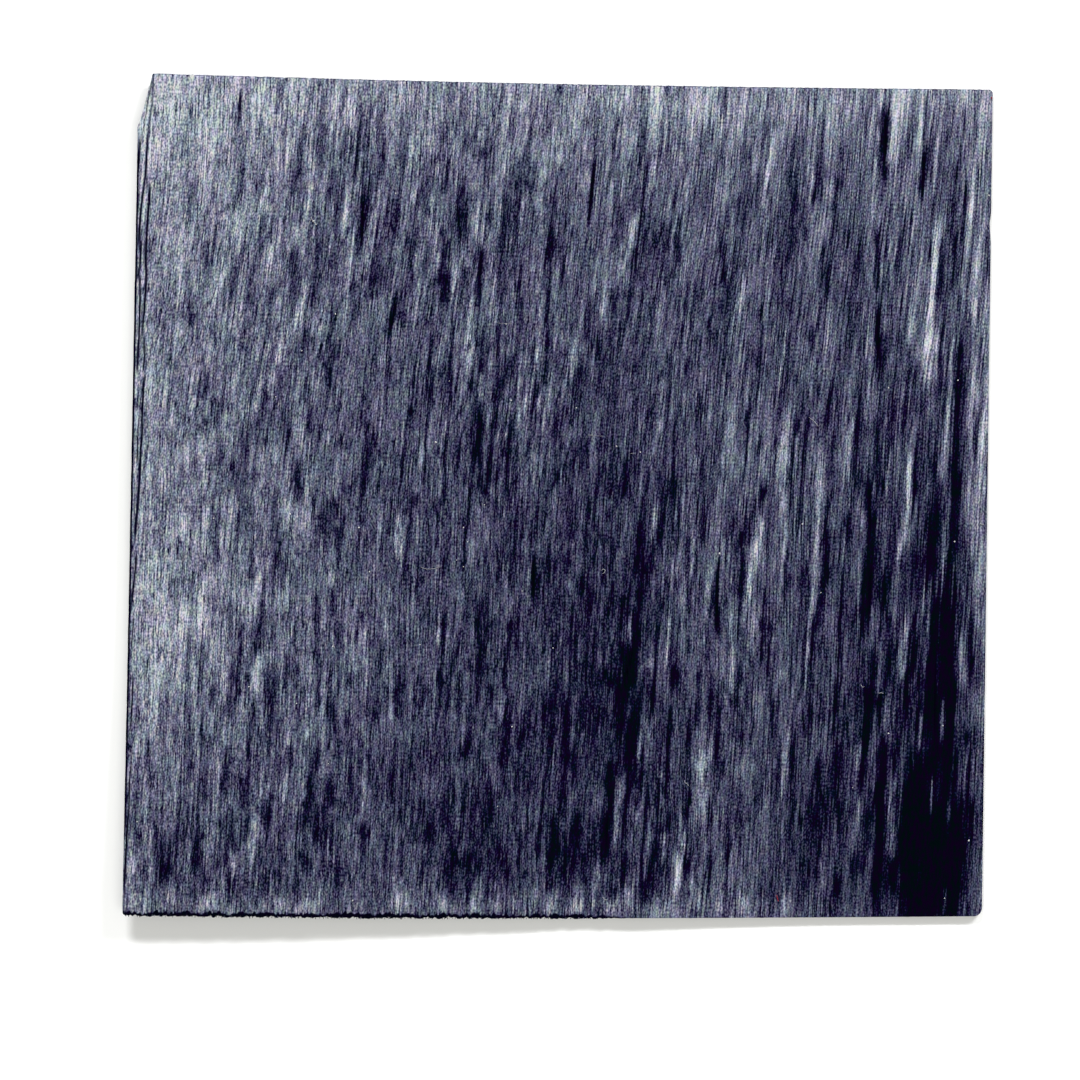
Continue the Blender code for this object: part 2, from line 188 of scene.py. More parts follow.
    (-40, -34.8, 1.8, 0.6, 38), (-36.4, -26.5, 2.6, 0.9, 26), (-36.4, -28, 2, 1, 20),
    (-37, -29.5, 1.8, 0.35, 34), (-36.9, -30.2, 1.6, 0.6, 36), (-36.8, -31.8, 2.4, 0.4, 30),
    (-37, -33.5, 2.4, 0.4, 26), (-34.2, -24.8, 2, 0.6, 36), (-34.4, -26.8, 2.8, 0.7, 34),
    (-33.8, -26.8, 2, 0.5, 24), (-33.5, -28.5, 1.6, 0.8, 22), (-34.4, -29, 2.4, 0.35, 22),
    (-34.6, -31, 2, 0.4, 20), (-31.8, -30.7, 1.6, 0.7, 32), (-31.9, -32.5, 2, 0.4, 28),
    (-31, -26, 3, 0.6, 16), (-29.9, -29.8, 2, 0.3, 30), (-27.1, -25.5, 1.8, 1, 28),
    (-26.7, -26.5, 2, 0.9, 30), (-27.5, -29, 2.4, 0.3, 22), (-26.3, -30.5, 3, 0.5, 20),
    (-42.4, -30, 2.4, 0.5, 24), (-42.5, -32, 1.8, 0.5, 28), (-42.7, -34, 2.4, 0.35, 30),
    (-42, -33, 2, 0.6, 22), (-42, -35.5, 2.4, 0.7, 22), (-44.2, -29.5, 4, 0.6, 14),
    (-44, -33.5, 3, 0.5, 16), (-45.3, -35.5, 2.4, 0.35, 30), (-45.2, -37.5, 2.4, 0.4, 28),
    (-45.4, -39.2, 1.8, 0.5, 28), (-45.5, -41.5, 4, 0.3, 22), (-45.5, -44.5, 3, 0.3, 24),
    (-44.1, -38, 3, 0.4, 26), (-44.6, -40.5, 1.8, 0.8, 24), (-43.5, -38, 5, 0.25, 24),
    (-43, -41, 4, 0.8, 26), (-43, -43, 3, 1.2, 30), (-43.3, -45, 3, 0.4, 32), (-43.5, -47, 2, 0.5, 22),
    (-42.2, -45.2, 3, 0.8, 22), (-42, -46.8, 1.6, 1, 24), (-40.7, -42.8, 1.8, 0.4, 26),
    (-40.2, -40, 3, 0.4, 24), (-39.7, -39, 2, 0.8, 18), (-38.9, -39.5, 3, 0.6, 32),
    (-39, -41.3, 1.8, 0.5, 28), (-39.6, -43, 3, 0.5, 24), (-40.4, -44, 1.6, 1.4, 20),
    (-38.7, -42.3, 1.6, 0.8, 22), (-37.9, -33.5, 2, 0.8, 20), (-37.5, -35.3, 2.4, 1.2, 24),
    (-37.4, -37, 3, 1.2, 16), (-37.3, -39.5, 2, 1.2, 28), (-37.5, -40.5, 1.6, 1, 24),
    (-34.3, -36, 1.8, 0.7, 26), (-34.7, -38, 2, 1, 36), (-34.7, -39.7, 2.4, 0.6, 38),
    (-34, -38.5, 2, 0.7, 20), (-29.5, -33.5, 2.4, 0.7, 30), (-29.5, -35, 2.4, 0.8, 34),
    (-29.7, -36.8, 2, 1, 36), (-29.9, -37.9, 1.8, 0.9, 38), (-29.2, -38.8, 1.8, 1.4, 24),
    (-30.4, -39, 1.6, 0.6, 22), (-31, -38.5, 2, 0.6, 26), (-27.3, -34.5, 2, 0.7, 24),
    (-27.1, -36, 2, 1.2, 30), (-27.9, -38, 3, 0.6, 18), (-28.9, -32, 2, 0.8, 20), (-49, -31, 4, 0.4, 20),
    (-50.1, -33.5, 4, 0.3, 20), (-50.3, -38.5, 2, 0.4, 22), (-49.5, -38, 2, 0.4, 20),
    (-48, -41, 3, 0.5, 20), (-47, -43, 4, 2, 18), (-47, -45.3, 1.8, 1.4, 26), (-46.2, -44.5, 2, 1.2, 16),
    (-49.5, -44, 4, 0.5, 16), (-50.2, -41, 4, 0.8, 14), (-49.5, -47.5, 3, 0.3, 18),
    (-48.3, -47, 2, 0.6, 16), (-45.4, -46.8, 2.4, 0.4, 24), (-39.1, -45.7, 1.6, 0.5, 28),
    (-39.2, -47.2, 2.4, 0.4, 22), (-35.5, -43, 3, 0.8, 16), (-35, -46.3, 2.4, 1, 18),
    (-33.6, -45.3, 1.6, 0.8, 24), (-33, -42.5, 2.4, 0.8, 20), (-30.5, -43.3, 1.6, 1, 24),
    (-29.8, -44, 1.8, 1.2, 26), (-31.2, -46.5, 2.4, 0.6, 22), (-31.3, -48.2, 1.8, 0.5, 22),
    (-32.8, -39.5, 2, 0.3, 24), (-28, -42.5, 3, 0.6, 20), (-26.3, -45.3, 3, 0.6, 26),
    (-28.6, -41, 2, 0.8, 16), (-25.6, 47, 3, 0.3, 20), (-23.3, 47.5, 1.8, 0.3, 22),
    (-23.5, 46.3, 1.8, 0.3, 28), (-23.6, 44.3, 2, 0.4, 38), (-23.8, 42.8, 2.4, 0.45, 38),
    (-24, 41, 3, 0.4, 38), (-24.2, 39.4, 2.4, 0.4, 36), (-24.4, 37.8, 1.8, 0.35, 28),
    (-23.2, 42.3, 3, 1.2, 18), (-23, 40, 3, 1.2, 16), (-22.8, 45, 2, 1, 16), (-21.5, 44.5, 2, 0.8, 22),
    (-21, 43.2, 2.4, 0.8, 20), (-20.8, 41.5, 2, 1.2, 18), (-21, 39.5, 2.4, 1, 26),
    (-21.3, 38.3, 1.6, 0.8, 26), (-23, 36, 4, 1.2, 26), (-23.2, 34, 3, 0.9, 26), (-23.6, 31.5, 4, 1.1, 32),
    (-23.9, 29.8, 3, 1, 28), (-18.5, 44.5, 2, 0.6, 22), (-18.6, 42, 2, 1, 24), (-18.1, 41, 2.4, 0.35, 28),
    (-18.3, 39.8, 1.6, 0.8, 34), (-18.7, 38.5, 3, 0.35, 28), (-18.9, 36, 2.4, 0.4, 30),
    (-19.2, 34, 2.6, 0.6, 32), (-19.5, 33, 2, 1, 24), (-16.2, 38, 1.8, 0.4, 34), (-16.5, 36.8, 2, 0.5, 32),
    (-16.8, 35.5, 2, 0.7, 24), (-17.2, 33.5, 2, 0.9, 22), (-16, 35, 2, 0.8, 20), (-15.4, 40, 2, 1, 18),
    (-13.8, 42.5, 2.4, 0.4, 26), (-13.2, 38.8, 2.4, 0.5, 28), (-13.6, 37.3, 2, 1.2, 26),
    (-14.2, 35.5, 1.8, 0.4, 30), (-11, 42.5, 2, 1, 22), (-9.5, 41, 1.8, 1.4, 28),
    (-8.8, 40.5, 1.6, 0.8, 22), (-7.9, 39.6, 2, 1, 20), (-9.8, 43.8, 2, 0.4, 24), (-5.4, 44.5, 3, 0.7, 22),
    (-3.3, 43.5, 3, 0.5, 18), (-3.8, 41.5, 2.4, 0.8, 22), (-1.3, 45.3, 2.4, 0.6, 22),
    (-5, 38.8, 3, 1.8, 20), (-4.9, 36.5, 2.4, 0.8, 22), (-3, 38.5, 4, 0.5, 20), (-0.8, 38, 4, 0.7, 18),
    (-0.2, 36.5, 4, 0.5, 26), (-0.4, 34.3, 2, 0.4, 26), (-6.5, 36.3, 1.6, 0.3, 34), (-6.3, 35, 3, 0.4, 32),
    (-6.6, 33.5, 3, 0.4, 26), (-6.6, 32, 1.6, 0.3, 34), (-6, 34, 4, 0.6, 26), (-4.8, 33.8, 4, 0.4, 24),
    (-11.5, 36.5, 2, 1.2, 26), (-11.8, 34.7, 3, 0.6, 26), (-11, 34, 2.4, 0.9, 28),
    (-11.5, 32.5, 2, 1.4, 32), (-11.3, 31, 1.8, 1.4, 32), (-8.3, 33.3, 1.6, 0.7, 28),
    (-13.9, 31.8, 1.6, 0.4, 30), (-13.7, 29.9, 2.4, 0.4, 36), (-13.2, 29.8, 1.8, 0.8, 30),
    (-13.8, 28, 2.4, 0.4, 36), (-13.9, 26.4, 2.4, 0.7, 34), (-13.5, 24.8, 3, 0.9, 26),
    (-15.8, 27.5, 4, 0.8, 18), (-17.3, 31, 3, 0.8, 18), (-17.5, 28.5, 3, 1, 18), (-17.5, 26, 2, 0.5, 28),
    (-21.7, 31.6, 1.8, 0.5, 38), (-21.8, 30.9, 1.6, 0.3, 34), (-21.7, 28, 4, 1, 22),
    (-21.5, 26.3, 2, 1.6, 24), (-19.9, 29.3, 2, 0.3, 32), (-19.8, 26.5, 3, 0.6, 20), (-9.4, 29, 2, 1, 28),
    (-8.5, 28.5, 1.8, 0.6, 28), (-9.3, 27.7, 2.4, 0.35, 38), (-9.6, 26, 2.4, 0.4, 38),
    (-6.9, 30.3, 1.8, 0.8, 24), (-7, 27.5, 3, 0.4, 26), (-4.5, 26, 3, 0.4, 30), (-0.8, 31, 2.4, 0.7, 26),
    (-0.8, 29.3, 2.4, 0.5, 24), (-1, 26, 3, 0.5, 24), (-25.5, 43, 2, 1, 16), (-25.8, 41, 3, 0.6, 24),
    (-24.4, 25.8, 1.6, 0.6, 26), (-12.1, 48.8, 1.6, 0.3, 30), (-16.4, 49.2, 1.6, 0.3, 22),
    (-24.5, 25, 2, 0.8, 22), (-24, 22.3, 2, 1.4, 20), (-21.8, 25.6, 1.6, 1.4, 22),
    (-19.3, 23.8, 1.6, 0.5, 30), (-18.9, 23.5, 2, 0.4, 34), (-19.4, 22.6, 2, 0.5, 34),
    (-19.8, 21.5, 2, 0.4, 38), (-20, 20.4, 2.4, 0.45, 40), (-20.1, 18.5, 2, 0.3, 34),
    (-20.2, 16.5, 3, 0.3, 24), (-20.4, 14.5, 3, 0.25, 22), (-20.6, 12, 3, 0.25, 20),
    (-18.7, 20.8, 2, 0.6, 20), (-13.4, 25.3, 3, 0.7, 24), (-13.2, 23.4, 1.8, 0.3, 34),
    (-12.6, 19.5, 2, 0.4, 26), (-12.8, 17.2, 2, 0.3, 30), (-12.9, 15.5, 4, 0.3, 22),
    (-12.8, 13, 3, 0.4, 24), (-12.9, 11.3, 2, 0.6, 26), (-15.2, 19, 2.4, 0.3, 24), (-15.2, 17, 2, 0.4, 24),
    (-15.4, 15, 1.8, 0.6, 26), (-15, 13.7, 2, 0.5, 26), (-15.3, 12.2, 1.8, 1, 24), (-15.6, 9, 3, 0.5, 18),
    (-9.7, 25.3, 2, 0.5, 36), (-9.1, 24.8, 2, 0.4, 32), (-9.3, 23.5, 2, 0.3, 34), (-9.5, 22, 2.4, 0.3, 32),
    (-9.6, 20, 2, 0.25, 26), (-9.2, 18, 3, 0.5, 26), (-9.3, 15.5, 2, 0.5, 26), (-8.7, 16, 3, 0.8, 18),
    (-7.1, 20.3, 1.6, 0.8, 28), (-7.2, 18.6, 1.8, 0.7, 34), (-7.2, 17.5, 1.6, 0.3, 28),
    (-6.4, 24.5, 2, 1, 24), (-4.7, 24.8, 3, 0.4, 32), (-4.5, 22.8, 1.8, 0.8, 24), (-4.4, 21, 2, 0.3, 30),
    (-4.7, 18.8, 3, 0.3, 30), (-1.2, 23.8, 2, 0.7, 28), (-1.2, 22.5, 1.8, 0.6, 26),
    (-1.5, 20.5, 3, 0.3, 24), (-1.3, 18, 2, 0.6, 22), (-1.4, 15, 3, 0.4, 24), (-2.6, 13, 3, 0.4, 22),
    (-3, 10.5, 3, 0.4, 26), (-5.9, 15, 2.4, 1.2, 24), (-6.8, 14.5, 2.4, 1.4, 22),
    (-6.9, 12.3, 1.8, 0.7, 28), (-7.6, 11.3, 1.6, 0.35, 36), (-7.4, 10.3, 1.8, 0.6, 30),
    (-7.7, 9.3, 2, 0.5, 34), (-7.4, 8.3, 1.8, 1, 26), (-8, 6, 4, 0.5, 24), (-8.1, 4, 3, 0.5, 30),
    (-5, 12.5, 3, 0.3, 24), (-10.2, 13.4, 2, 0.9, 22), (-9.7, 10, 2, 1.2, 22), (-9.5, 9, 1.8, 1, 28),
    (-9.3, 8, 1.8, 0.8, 32), (-10.2, 7.4, 1.6, 1, 34), (-10, 5.8, 2.4, 0.5, 36), (-10.1, 4.5, 2.4, 0.4, 34),
    (-9.5, 6, 3, 1, 28), (-9.2, 4.2, 3, 0.6, 26), (-5.7, 8.3, 1.8, 0.5, 34), (-5.8, 6.5, 3, 0.3, 32),
    (-5.9, 4.5, 2.4, 0.4, 34), (-6, 2.5, 2.4, 0.4, 30), (-6.1, 1, 1.6, 0.6, 34), (-6.4, 6, 1.6, 1, 32),
    (-0.3, 9, 1.6, 0.7, 30), (-0.4, 7.5, 1.8, 0.4, 26), (-0.2, 2.5, 1.8, 0.7, 38),
    (-17.6, 17, 1.8, 0.4, 26), (-17.2, 14.5, 1.6, 0.4, 28), (-17.3, 12.5, 3, 0.25, 26),
    (-17.6, 10.2, 2, 0.4, 30), (-17.9, 8.3, 1.8, 0.8, 24), (-23, 15.5, 3, 0.3, 30),
    (-23.4, 12, 3, 0.35, 30), (-23.5, 9.5, 2, 0.4, 24), (-24.6, 9, 2, 1, 22), (-25.6, 15.5, 3, 0.3, 26),
    (-25.9, 13, 4, 0.3, 30), (-22.5, 7.5, 1.8, 1.2, 26), (-22.7, 6, 2, 0.9, 28), (-22.8, 4.6, 2, 0.7, 38),
    (-23.3, 4, 3, 0.6, 26), (-23, 2.5, 2.4, 1.2, 30), (-23.3, 1, 2, 1, 30), (-25.1, 1.2, 1.6, 1.4, 32),
    (-21.3, 2, 3, 0.25, 26), (-18.5, 5, 2.4, 0.4, 28), (-18.6, 3, 3, 0.3, 34), (-18.8, 1.3, 2, 0.3, 36),
    (-15.8, 7, 4, 0.3, 26), (-15.8, 5, 3, 0.3, 26), (-15.9, 3.3, 2.4, 0.5, 28), (-13.5, 2.5, 3, 0.4, 34),
    (-13.5, 0.8, 2.4, 0.5, 38), (-13.5, 5, 3, 0.3, 24), (-11.9, 4.6, 2, 0.4, 32), (-9.2, 1.5, 2.4, 0.8, 26),
    (-8.3, 2.5, 2.4, 0.8, 30), (-7.3, 2.3, 2.4, 0.4, 30), (-10.4, 1, 1.6, 0.5, 26),
    (-25.3, 0.5, 1.6, 0.9, 16), (-25.8, -2.8, 2, 0.5, 24), (-23.5, -0.5, 3, 0.5, 24),
    (-23.4, -3.5, 3, 0.5, 18), (-21.9, -4, 4, 0.3, 20), (-17.7, -3, 2.4, 0.5, 30), (-18, -5.5, 3, 0.4, 26),
    (-18.3, -8, 2.4, 0.5, 24), (-17.4, -0.5, 1.6, 1.4, 18), (-13.5, 0, 2.6, 0.35, 24),
    (-13.5, -7.5, 1.6, 0.5, 26), (-13.6, -15, 3, 0.4, 24), (-11, -5, 2.4, 0.3, 24), (-11, -7, 2, 0.4, 26),
    (-10.7, -2.5, 4, 0.3, 20), (-8.6, -7.5, 3.4, 0.35, 26), (-7.4, -2, 2.4, 0.35, 26),
    (-5.9, 0, 1.6, 0.3, 26), (-5.7, -8.8, 3, 0.4, 28), (-2.8, -10.7, 2.4, 0.7, 26),
    (-2.9, -8.5, 2, 0.5, 22), (-2.2, -9.5, 3, 0.5, 14), (-0.2, -8.3, 1.6, 0.4, 26),
    (-9.5, -13, 1.6, 0.7, 24), (-9.6, -15.5, 4, 0.5, 26), (-9.2, -18.5, 3, 0.6, 20),
    (-9.3, -20.5, 3, 0.8, 16), (-7.7, -16, 2, 1.2, 20), (-5.7, -16.3, 1.8, 0.5, 36),
    (-5.9, -18.3, 2.4, 0.4, 24), (-6.3, -20.5, 3, 0.5, 24), (-11.9, -17.5, 2.4, 0.5, 20),
    (-12.2, -19.3, 2.4, 0.6, 18), (-12.7, -20.6, 1.6, 0.7, 22), (-14.1, -21.5, 2, 0.8, 24),
    (-14.2, -24, 3, 0.6, 24), (-13.2, -24, 2.6, 0.4, 24), (-9.6, -24, 1.6, 0.8, 24),
    (-8, -23.8, 1.6, 0.7, 22), (-19.3, -24, 3, 0.5, 24), (-18.8, -22.8, 3, 0.6, 24),
    (-19.2, -17, 2, 0.4, 20), (-21.3, -19.5, 2.4, 0.35, 22), (-24, -16.5, 2, 0.35, 20),
    (-0.2, -23, 3, 0.6, 12), (-22.4, -25, 2.4, 0.6, 16), (-21.7, -25.8, 3, 1, 16),
    (-14.6, -27.5, 3, 0.35, 24), (-13.2, -25, 2.4, 0.3, 26), (-25.1, -26.8, 2, 0.6, 20),
    (-6.3, -26.8, 1.6, 0.35, 26), (-4.1, -26.8, 2, 0.5, 22), (-1, -26, 4, 1.4, 14),
    (-10.6, -29.3, 1.6, 0.7, 26), (-11.3, -30.7, 1.6, 1, 26), (-9.5, -31, 3, 0.4, 20),
    (-8.8, -32.3, 1.6, 0.8, 22), (-6.7, -31, 2.4, 0.4, 26), (-4.4, -29.4, 1.6, 0.8, 22),
    (-17.5, -30.5, 4, 0.3, 24), (-19.4, -30.5, 3, 0.5, 18), (-22.5, -31.5, 3, 0.5, 24),
    (-19.8, -33.3, 2, 0.6, 28), (-22.4, -33.7, 1.6, 0.6, 24), (-24.8, -33, 4, 0.4, 22),
    (-24.6, -36, 4, 0.4, 14), (-11.2, -36.5, 2, 0.4, 22), (-13.4, -36.3, 2.4, 0.7, 22),
    (-13.3, -39, 1.6, 1.2, 20), (-16, -37.5, 3, 0.4, 24), (-15.3, -40, 1.6, 0.9, 30),
    (-11.7, -40.5, 1.6, 0.7, 22), (-12.5, -43, 2, 0.9, 22), (-9.6, -36.3, 2, 1, 16),
    (-7.9, -37.2, 3, 0.5, 24), (-7, -42, 3, 0.5, 24), (-4.6, -42.5, 3.4, 0.5, 28),
    (-2.4, -40.8, 3, 0.7, 24), (-2.4, -43, 2, 0.4, 22), (-1.8, -35.5, 3, 0.3, 24),
    (-0.5, -39.8, 2, 0.8, 28), (-0.3, -42.3, 3, 1.4, 26), (-1, -43.6, 2, 0.6, 24), (-23.3, -40, 2, 0.8, 24),
    (-20.6, -42.5, 6, 0.35, 22), (-18.6, -43, 3.4, 0.3, 24), (-16.1, -44.5, 2, 0.4, 24),
    (-10.7, -43.8, 2.4, 0.7, 22), (-9.7, -44.7, 1.6, 1, 20), (-13.3, -45, 2.4, 0.9, 20),
    (-12.5, -47, 1.8, 0.8, 24), (-10.8, -47.8, 2.4, 0.4, 24), (-6.1, -45, 1.6, 0.8, 22),
    (1, 47.3, 3, 0.3, 24), (4, 44.5, 3, 0.3, 16), (4.2, 38.5, 3, 0.6, 36), (4, 36, 3, 0.5, 36),
    (3.8, 33.5, 3, 0.35, 30), (3.5, 30.8, 3, 0.3, 20), (0.6, 26.8, 4, 0.35, 20), (6.6, 41, 4, 0.4, 18),
    (7.1, 36.5, 4, 0.6, 22), (7.3, 32, 4, 1, 16), (10.2, 43, 6, 0.7, 18), (10.6, 39, 5, 0.6, 20),
    (10.1, 35.7, 2.5, 0.4, 26), (9.4, 35, 2, 0.8, 26), (9.9, 32.6, 4, 0.4, 28), (10.4, 30.5, 3, 0.7, 18),
    (9, 28.5, 1.6, 1.2, 22), (13.1, 48.3, 1.6, 0.5, 26), (12.3, 42, 4, 0.3, 16), (11.9, 38.8, 2.4, 0.3, 18),
    (11.3, 33.3, 3, 0.4, 20), (15.1, 44, 3, 0.35, 18), (15.2, 41.2, 2, 0.4, 28), (14.1, 35.5, 3, 0.5, 20),
    (14.4, 33.2, 2, 0.6, 20), (14.2, 30.5, 1.8, 0.7, 30), (14.5, 29.1, 1.6, 0.8, 22),
    (13.6, 26.2, 1.6, 0.5, 24), (18.5, 43.5, 3, 0.4, 20), (20.1, 47.5, 2.4, 0.6, 18),
    (19.4, 40.5, 3, 0.8, 14), (22.2, 41.5, 4, 0.5, 22), (21.9, 39, 1.6, 0.5, 24), (21.9, 36, 6, 0.6, 18),
    (24.8, 43.3, 2.6, 0.8, 18), (23.8, 36.5, 3, 0.6, 16), (23.2, 33.3, 1.6, 0.4, 24),
    (22.3, 34, 5, 0.9, 16), (20.2, 34, 2, 0.6, 20), (19.6, 31, 3, 0.4, 22), (19.8, 28.8, 3, 0.5, 32),
    (19.9, 27.3, 1.6, 0.7, 30), (21.3, 30, 1.6, 0.3, 26), (21.4, 28, 2.6, 0.9, 20), (25.2, 31, 4, 0.4, 16),
    (3.5, 21, 4, 0.8, 16), (6.8, 23, 3, 0.6, 20), (8.6, 24.5, 3, 0.3, 26), (8.4, 21.5, 4, 0.35, 22),
    (13.3, 25, 2.4, 0.4, 26), (13.1, 22.8, 2.4, 0.35, 26), (12.7, 20, 3, 0.35, 20),
    (15.4, 23, 2.4, 0.4, 20), (18.7, 24, 4, 0.4, 22), (19.9, 23.5, 4, 1.4, 12), (4.6, 17.8, 3, 0.9, 18),
    (3.8, 16.5, 4, 0.7, 18), (2.8, 15, 2.4, 0.8, 24), (2.2, 13.3, 1.8, 0.9, 22), (7.8, 16.3, 1.6, 0.7, 18),
    (13.2, 14, 4, 0.6, 18), (13, 10.3, 4, 0.4, 22), (15.3, 15.3, 1.6, 0.6, 26), (16.7, 10, 3.4, 0.45, 16),
    (24.2, 18, 5, 0.5, 20), (24.2, 16, 2, 0.7, 16), (13.9, 8, 3, 0.45, 24), (13.9, 6, 2, 0.4, 20),
    (13.8, 3.4, 3, 0.4, 30), (13.9, 1.3, 1.6, 0.6, 30), (17.2, 3.5, 3, 0.4, 26), (19.4, 3.4, 2, 0.3, 18),
    (19.1, 7, 5, 0.3, 16), (22.6, 9.5, 3, 0.5, 22), (22.6, 7, 3, 0.5, 24), (22.4, 4.3, 3, 0.3, 26),
    (22, 2, 2.4, 0.3, 24), (23.7, 5.5, 2.4, 0.4, 22), (24.6, 0.6, 1.6, 0.8, 36), (0.3, 5.5, 2.4, 0.4, 24),
    (2.8, 5, 3, 1.6, 14), (5, 2.4, 1.8, 0.9, 16), (8, 2.5, 4, 0.9, 22), (10.7, 1.5, 2.6, 0.7, 20),
    (9.3, 3.2, 1.6, 0.8, 14), (24.4, 0, 2.6, 0.7, 34), (13.8, 0, 3, 0.8, 22), (12.7, 0.3, 3, 1.2, 18),
    (12.4, -3.8, 4, 0.7, 28), (14.6, -2.5, 2, 0.6, 20), (14.6, -4.7, 1.6, 0.6, 24),
    (7.6, 0.3, 1.6, 0.8, 22), (4.4, -1.5, 4.4, 0.3, 22), (0.3, -4.3, 1.6, 0.5, 22), (1, -7.8, 2.4, 0.6, 18),
    (2.8, -10.3, 2, 1, 20), (5.4, -9.5, 1.6, 0.4, 26), (4.3, -7, 3, 0.4, 20), (3.8, -12.3, 2, 0.9, 18),
    (9.8, -5, 4, 1.4, 18), (9.3, -7.2, 1.6, 0.5, 26), (10, -8, 2, 1.6, 14), (9, -9.5, 3.4, 0.3, 26),
    (10.3, -10.5, 4, 1.6, 12), (11.3, -7.5, 4, 0.5, 18), (6.5, -12.5, 3, 0.6, 18), (8.4, -13, 3, 0.6, 20),
    (9.8, -12.5, 3, 0.6, 20), (7.5, -14.5, 4, 0.5, 16), (9.4, -15.3, 2.6, 1, 26), (9.5, -17.5, 3, 0.9, 30),
    (8.6, -19.5, 3, 1.2, 30), (9, -21, 3, 1.2, 28), (8.2, -22.5, 3, 1, 24), (6.5, -21.8, 1.6, 2.6, 22),
    (7.5, -23.8, 2, 1.6, 26), (7.7, -18.8, 2, 0.8, 20), (4.9, -22.3, 2, 0.3, 22), (1.4, -20, 4, 0.4, 26),
    (1.4, -22.5, 3, 0.3, 20), (4.3, -18, 6, 0.4, 14), (11.8, -17, 5, 0.6, 20), (11.6, -21, 3, 0.4, 22),
    (11.4, -23.5, 3, 0.6, 30), (13.6, -18, 4, 0.3, 20), (13.9, -21.8, 2, 0.9, 34), (14.5, -15, 3, 0.3, 20),
    (15.7, -11.7, 3, 0.4, 22), (17.3, -4, 3, 0.3, 24), (19.2, -8.5, 1.6, 0.7, 26),
    (18.8, -10.5, 2, 0.7, 26), (18.7, -12.3, 1.8, 0.9, 30), (19.1, -14, 2, 0.8, 30),
    (19.1, -15.5, 1.6, 0.8, 28), (20.9, -4.5, 5, 0.3, 24), (21.8, -5.3, 2, 0.7, 24), (22.6, -4, 2, 0.7, 20),
    (20.6, -8.5, 3, 0.3, 20), (22.1, -8, 2.4, 0.3, 24), (21.9, -10.7, 2, 0.7, 24),
    (21.7, -14.3, 4, 0.35, 26), (24.6, -12.8, 3, 0.4, 22), (24.4, -18, 5, 0.35, 22),
    (25.3, -17.5, 4, 0.3, 26), (25.1, -20.5, 4, 0.3, 24), (25.3, -23.5, 3, 0.3, 20),
    (21.7, -21, 2.4, 0.7, 28), (21.5, -23.2, 3, 0.3, 28), (18.3, -23, 3, 0.7, 20), (16.8, -22, 3, 0.6, 14),
    (7.5, -26.5, 5, 1.2, 20), (8.7, -28.5, 4, 0.9, 24), (8.4, -31.5, 4, 0.8, 20), (6.2, -34, 4, 1, 28),
    (6.4, -36.5, 3, 0.6, 24), (5.8, -40, 4, 1.2, 30), (5.7, -42.5, 2.4, 1, 26), (5.3, -26.3, 1.6, 1.2, 16),
    (0.8, -29, 6, 0.9, 16), (1.3, -31.3, 2.4, 1.2, 20), (0.8, -25, 4, 1.2, 16), (2.7, -26, 4, 0.5, 16),
    (2, -39, 2.4, 1.3, 22), (2, -42, 4, 1.4, 18), (0.7, -44, 4, 1.2, 16), (0.5, -36, 3, 0.8, 14),
    (3, -44, 3, 0.8, 14), (8.2, -36.2, 3, 0.4, 26), (7.9, -39.5, 3, 0.4, 24), (8.7, -34.5, 1.6, 0.6, 20),
    (7.9, -44.5, 3, 0.9, 20), (9.2, -30, 6, 0.7, 16), (10, -31.5, 4, 0.3, 22), (10.6, -37, 4, 0.45, 28),
    (10.4, -40.5, 3, 0.45, 22), (10, -44.5, 6, 0.4, 18), (10.3, -47, 3, 0.8, 22), (11.2, -44.5, 5, 1.6, 14),
    (9.5, -25, 3, 1, 14), (11.2, -25.3, 2.4, 0.4, 26), (13.3, -28, 6, 0.5, 24), (13, -31, 4, 0.4, 18),
    (12.3, -29.5, 3, 0.4, 16), (12, -36.5, 2.6, 0.35, 28), (12.9, -34.5, 2.6, 0.35, 26),
    (11.8, -41, 5, 0.5, 20), (13.2, -39, 1.6, 0.6, 28), (12.9, -44.6, 2, 1.2, 16),
    (16.4, -26, 3.5, 1.2, 18), (15.6, -29, 2, 0.7, 26), (18.2, -25, 2.4, 0.5, 24),
    (19.2, -27.5, 5, 0.6, 26), (19, -30.8, 3, 0.4, 26), (19.8, -32.5, 2, 0.4, 20), (15.7, -36, 4, 0.35, 24),
    (15.3, -40.5, 6, 0.3, 20), (15.4, -44.2, 1.6, 0.8, 34), (18, -37.5, 3, 0.4, 22),
    (18.2, -38.8, 2.4, 0.8, 14), (18.2, -44.3, 3, 0.5, 24), (20.4, -42, 3, 0.35, 22),
    (20.2, -44.8, 4, 0.4, 24), (22.7, -38.7, 1.6, 0.35, 24), (25.6, -26.5, 4, 0.3, 24),
    (25.4, -46.6, 2, 0.4, 22), (38.7, 46, 1.6, 0.45, 30), (39.4, 45.9, 1.8, 0.5, 30),
    (38.6, 44.7, 1.6, 1, 36), (39.5, 44.4, 1.6, 0.8, 32), (39, 42.8, 2.4, 0.8, 34),
    (38.9, 40.7, 3, 0.8, 36), (39, 38.8, 2, 0.8, 22), (43.9, 46.7, 2, 0.45, 30), (43.9, 44.3, 2.4, 1.2, 14),
    (44.3, 42, 3, 1.2, 12), (44, 40.5, 2, 0.5, 30), (43.7, 39, 3.4, 0.7, 36), (43.5, 36.8, 1.6, 0.8, 34),
    (44.5, 40.5, 3, 0.5, 16), (45.6, 41.5, 4, 0.4, 26), (46.5, 46, 4, 0.35, 20), (48.6, 45.8, 2, 0.4, 24),
    (48.6, 43.8, 2, 0.4, 20), (48.1, 40.5, 4, 0.3, 20), (48.8, 35.8, 3, 0.4, 26), (48.6, 33, 3.6, 0.35, 24),
